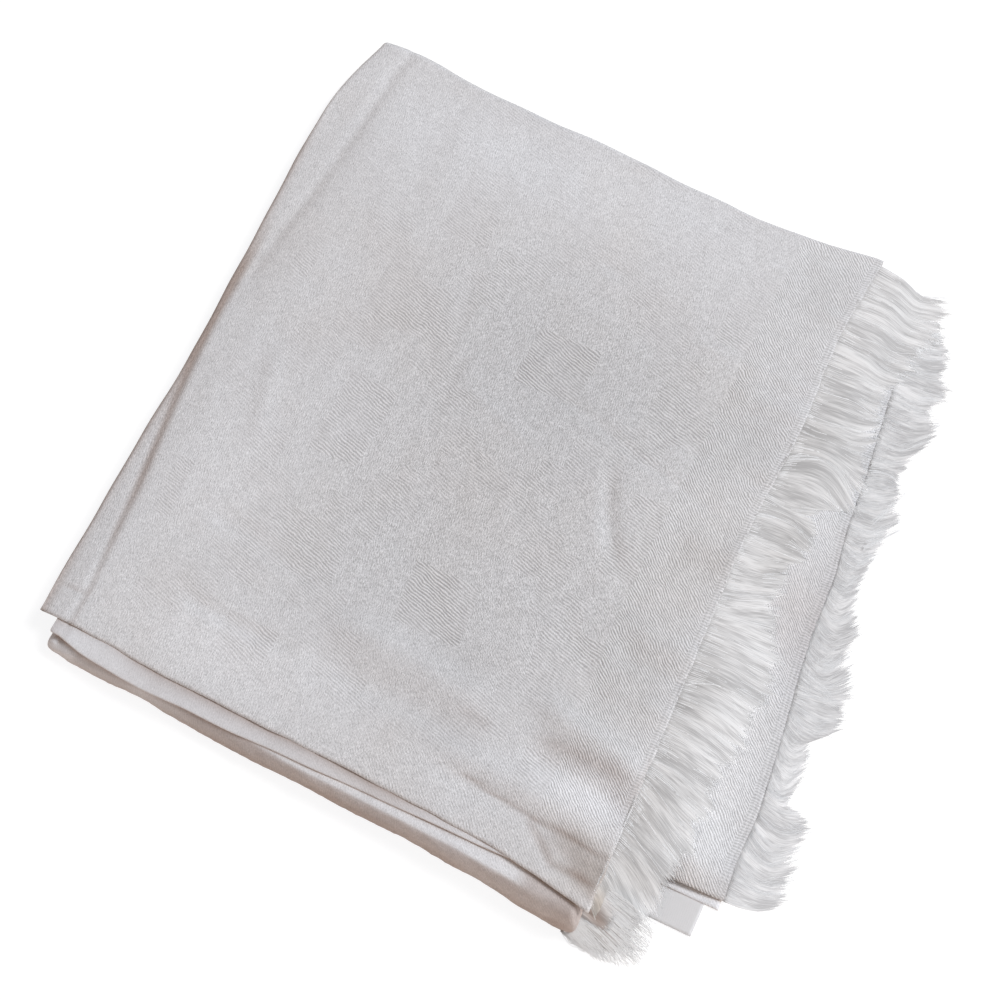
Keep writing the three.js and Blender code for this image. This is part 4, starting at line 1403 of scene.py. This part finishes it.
def besideHeight(x, y):
    # top of what a top-fringe yarn comes down on
    beyond = smoothStep(0.0, 0.012, x - underBase(np.clip(y, underSettings["front"], underSettings["back"])))
    onPanel = mix(underHeight(x, y), 0.0035, beyond)
    past = smoothStep(underSettings["front"] + 0.002, underSettings["front"] - 0.020, y)
    return mix(onPanel, 0.0095 - 0.006 * smoothStep(0.185, 0.215, x), past)


def topStart(y):
    return topHeight(fringeEdge(y), y) + topRelief(fringeEdge(y), y)


def besideSurface(x, y):
    return 0.0006 + 0.0016 * smoothStep(0.02, 0.0, x - underBase(np.clip(y, -0.21, 0.20)))


def makeFringe(name, settings, route, material, yarns):
    mat = layMat(name + "_mat", settings, route, material)
    mat.visible_shadow = False
    return [mat, layTubes(name + "_yarns", *combYarns(settings, route), 3, yarns)]


# locks that stand out of the second fringe: where each leaves it, bends and ends, and its yarns
looseLocks = tableOf(
    ("from", "by", "to", "yarns", "spread"),
    ((0.230, 0.036), (0.239, 0.058), (0.2486, 0.0786), 18, 0.0022),
    ((0.236, 0.031), (0.246, 0.044), (0.2540, 0.0546), 16, 0.0020),
    ((0.216, 0.140), (0.235, 0.146), (0.2510, 0.1510), 22, 0.0026),
    ((0.230, -0.010), (0.244, -0.020), (0.2560, -0.0210), 18, 0.0024),
    ((0.234, -0.060), (0.252, -0.072), (0.2680, -0.0720), 22, 0.0028),
    ((0.237, -0.084), (0.252, -0.092), (0.2670, -0.0890), 22, 0.0026),
    ((0.243, -0.138), (0.260, -0.148), (0.2740, -0.1470), 22, 0.0028),
    ((0.239, -0.047), (0.245, -0.064), (0.2450, -0.0760), 1, 0.0),
)


def makeLooseLocks():
    routes = []
    for lock in looseLocks:
        count, t = lock["yarns"], np.linspace(0, 1, 9)[None, :]
        own = dice.normal(0, 1, (3, count, 1)) * 1.3 * lock["spread"]
        t = t * (1 - 0.45 * dice.random((count, 1)))
        ends = zip(lock["from"], lock["by"], lock["to"])
        bend = [(1 - t)**2 * a + 2 * t * (1 - t) * b + t**2 * c for a, b, c in ends]
        narrow = 1 - 0.55 * smoothStep(0.2, 1.0, t)
        z = 0.0026 + 0.0008 * dice.random((count, 1)) - 0.0018 * t
        routes.append(np.stack([bend[0] + 0.4 * own[0] * narrow, bend[1] + own[1] * narrow, z], axis=2))
    routes = np.concatenate(routes)
    radii = yarnRadius * dice.uniform(0.8, 1.2, (len(routes), 1)) * np.linspace(1.0, 0.6, 9)
    return layTubes("loose_lock_yarns", routes, radii, 0.8 + 0.2 * dice.random(len(routes)), 3, secondYarn)


# the fringe of the lower plies at the front corner: rows from the front round to the back, with
# where its yarns start and end
cornerFringe = {
    "count": 460, "rings": 12, "radius": 0.00015, "mat": {**matGrid, "rows": 80}, "longest": 1.04,
    "shorter": 0.40, "lift": 0.0016, "hook": 0.0009, "curl": 0.0022,
}
cornerRows = tableOf(
    ("share", "fromX", "fromY", "fromZ", "toX", "toY"),
    (0.00, 0.1700, -0.2600, 0.0030, 0.1860, -0.2625),
    (0.20, 0.1730, -0.2575, 0.0095, 0.1975, -0.2640),
    (0.40, 0.1750, -0.2525, 0.0160, 0.2090, -0.2610),
    (0.60, 0.1765, -0.2470, 0.0210, 0.2155, -0.2545),
    (0.80, 0.1770, -0.2400, 0.0235, 0.2165, -0.2450),
    (1.00, 0.1760, -0.2300, 0.0250, 0.2150, -0.2330),
)


def cornerRoute():
    keys = [row["share"] for row in cornerRows]
    curves = {name: smoothCurve(keys, [row[name] for row in cornerRows])
              for name in cornerRows[0] if name != "share"}

    def route(share, t, layer, long, hook):
        x = mix(curves["fromX"](share), curves["toX"](share), long * t)
        y = mix(curves["fromY"](share), curves["toY"](share), long * t**1.15) + hook * np.sin(np.pi * t)
        fall = 1 - smoothStep(0.0, 0.95, t)
        fall = mix(fall, np.sqrt(np.maximum(1 - t**1.6, 0)), 0.35)
        z = curves["fromZ"](share) * fall + 0.0005 + cornerFringe["lift"] * layer
        return x, y, z

    return route


def makeCornerFringe():
    # yarns of the lower plies, out of the front corner and round it, over a close-combed mat
    settings, route = cornerFringe, cornerRoute()

    def layOut(u, v):
        x, y, z = route(v, u * (1.06 + 0.05 * waves(v, 0.0, 0.08, 95)), 0.1, 1.0, 0.0)
        ripple = 0.0003 * waves(v, 0.0, 0.12, 96)
        points = columnsOf(x, y, np.maximum(z + ripple, matGap))
        return points, columnsOf(0.05 * v, yarnLength * u)

    # painted warm shade in the hollow under the top ply's corner
    def deepAt(x, y):
        along = 0.90 * (x - 0.184) - 0.44 * (y + 0.2465)
        across = 0.44 * (x - 0.184) + 0.90 * (y + 0.2465)
        return np.exp(-(along / 0.016)**2 - (across / 0.0055)**2)

    mat = sheetFromGrid("corner_fringe_mat", settings["mat"], layOut, cornerYarn, deepAt)
    count, t = settings["count"], np.linspace(0, 1, settings["rings"])[None, :]
    share = dice.random((count, 1))**1.3
    layer = dice.random((count, 1))
    long = settings["longest"] - settings["shorter"] * dice.random((count, 1))**2
    # yarns of the middle plies come out from under the ones above, so they start further on
    begin = 0.42 * smoothStep(0.42, 0.56, share) * smoothStep(0.98, 0.84, share)
    hook = dice.normal(0, settings["hook"], (count, 1))
    x, y, z = route(share, mix(begin, 1.0, t), 0.15 + layer, long, hook)
    turns = 2 * np.pi * (t * dice.uniform(0.8, 2.6, (count, 1)) + dice.random((count, 1)))
    curl = settings["curl"] * dice.random((count, 1))**2 * t
    x, y = x + 0.5 * curl * np.cos(turns), y + curl * np.sin(turns)
    routes = np.stack([x, y, np.maximum(z, groundGap)], axis=2)
    radii = settings["radius"] * dice.uniform(0.75, 1.25, (count, 1)) * (1 - 0.4 * t**3)
    yarns = layTubes("corner_fringe_yarns", routes, radii, 0.5 + 0.5 * dice.random(count), 3, cornerStrands)
    return [mat, yarns]


stitchSettings = {"pitch": 0.0018, "radius": yarnRadius, "before": 0.0016, "past": 0.0006, "rise": 0.0002}


def makeStitches(name, low, high, edge, heightOf):
    # short overcast stitches along a fringe line
    settings = stitchSettings
    number = int((high - low) / settings["pitch"])
    t = np.linspace(0, 1, 4)
    routes = []
    for k in range(number):
        y = low + (k + 0.5) * settings["pitch"] + dice.normal(0, 0.00012)
        x = edge(y) + mix(-settings["before"], settings["past"], t)
        z = heightOf(x, y) + settings["rise"] * np.sin(np.pi * t) - 0.0002
        routes.append(columnsOf(x, y + 0.0005 * (t - 0.5), z))
    routes = np.array(routes)
    radii = settings["radius"] * dice.uniform(0.85, 1.1, (number, 1)) * np.array([0.7, 1.0, 1.0, 0.7])
    return layTubes(name, routes, radii, dice.uniform(0.4, 1.0, number), 5, fringeYarn)


topRoute = fringeRoutes(topFringe, topFlow, fringeEdge, topStart, besideHeight)
topFringePieces = makeFringe("top_fringe", topFringe, topRoute, combedYarn, fringeYarn)
print("top fringe combed")
underRoute = fringeRoutes(underFringe, underFlow, underBase,
                          lambda y: underRest - 0.0003 + underRelief(underBase(y), y), besideSurface)
underFringePieces = makeFringe("second_fringe", underFringe, underRoute, underYarn, secondYarn)
underFringePieces.append(makeLooseLocks())
cornerFringePieces = makeCornerFringe()
print("second and corner fringes combed")
topStitches = makeStitches("top_header_stitches", -0.200, 0.214, fringeEdge,
                           lambda x, y: topHeight(x, y) + topRelief(x, np.full(x.shape, y)))
underStitches = makeStitches("second_header_stitches", -0.208, 0.202, underBase,
                             lambda x, y: underHeight(x, np.full(x.shape, y)) + underRelief(x, y) - 0.0006)
print("stitches sewn")


# what each piece is

pieceFacts = [
    {"piece": topSheet, "stands": ["top_panel"], "slot": "woven_cloth"},
    {"piece": stripSheet, "stands": ["second_panel"], "slot": "woven_cloth"},
    {"piece": rollSheet, "stands": ["lower_fold"], "slot": "woven_cloth"},
    {"piece": underSheet, "stands": ["under_end_panel"], "slot": "woven_cloth"},
    {"piece": lowerSheet, "stands": ["lower_end_panel"], "slot": "woven_cloth"},
    {"piece": labelSheet, "stands": ["label"], "slot": "label_tape"},
    {"piece": topStitches, "stands": [], "slot": "fringe_yarn"},
    {"piece": underStitches, "stands": [], "slot": "fringe_yarn"},
]
for sheet in hiddenSheets:
    pieceFacts.append({"piece": sheet, "stands": ["under_layers"], "slot": "woven_cloth"})
for pieces, node in ((topFringePieces, "top_fringe"), (underFringePieces, "under_fringe"),
                     (cornerFringePieces, "corner_fringe")):
    pieceFacts += [{"piece": piece, "stands": [node], "slot": "fringe_yarn"} for piece in pieces]
for fact in pieceFacts:
    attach(fact["piece"], "root")
    if fact["stands"]:
        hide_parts(*fact["stands"])
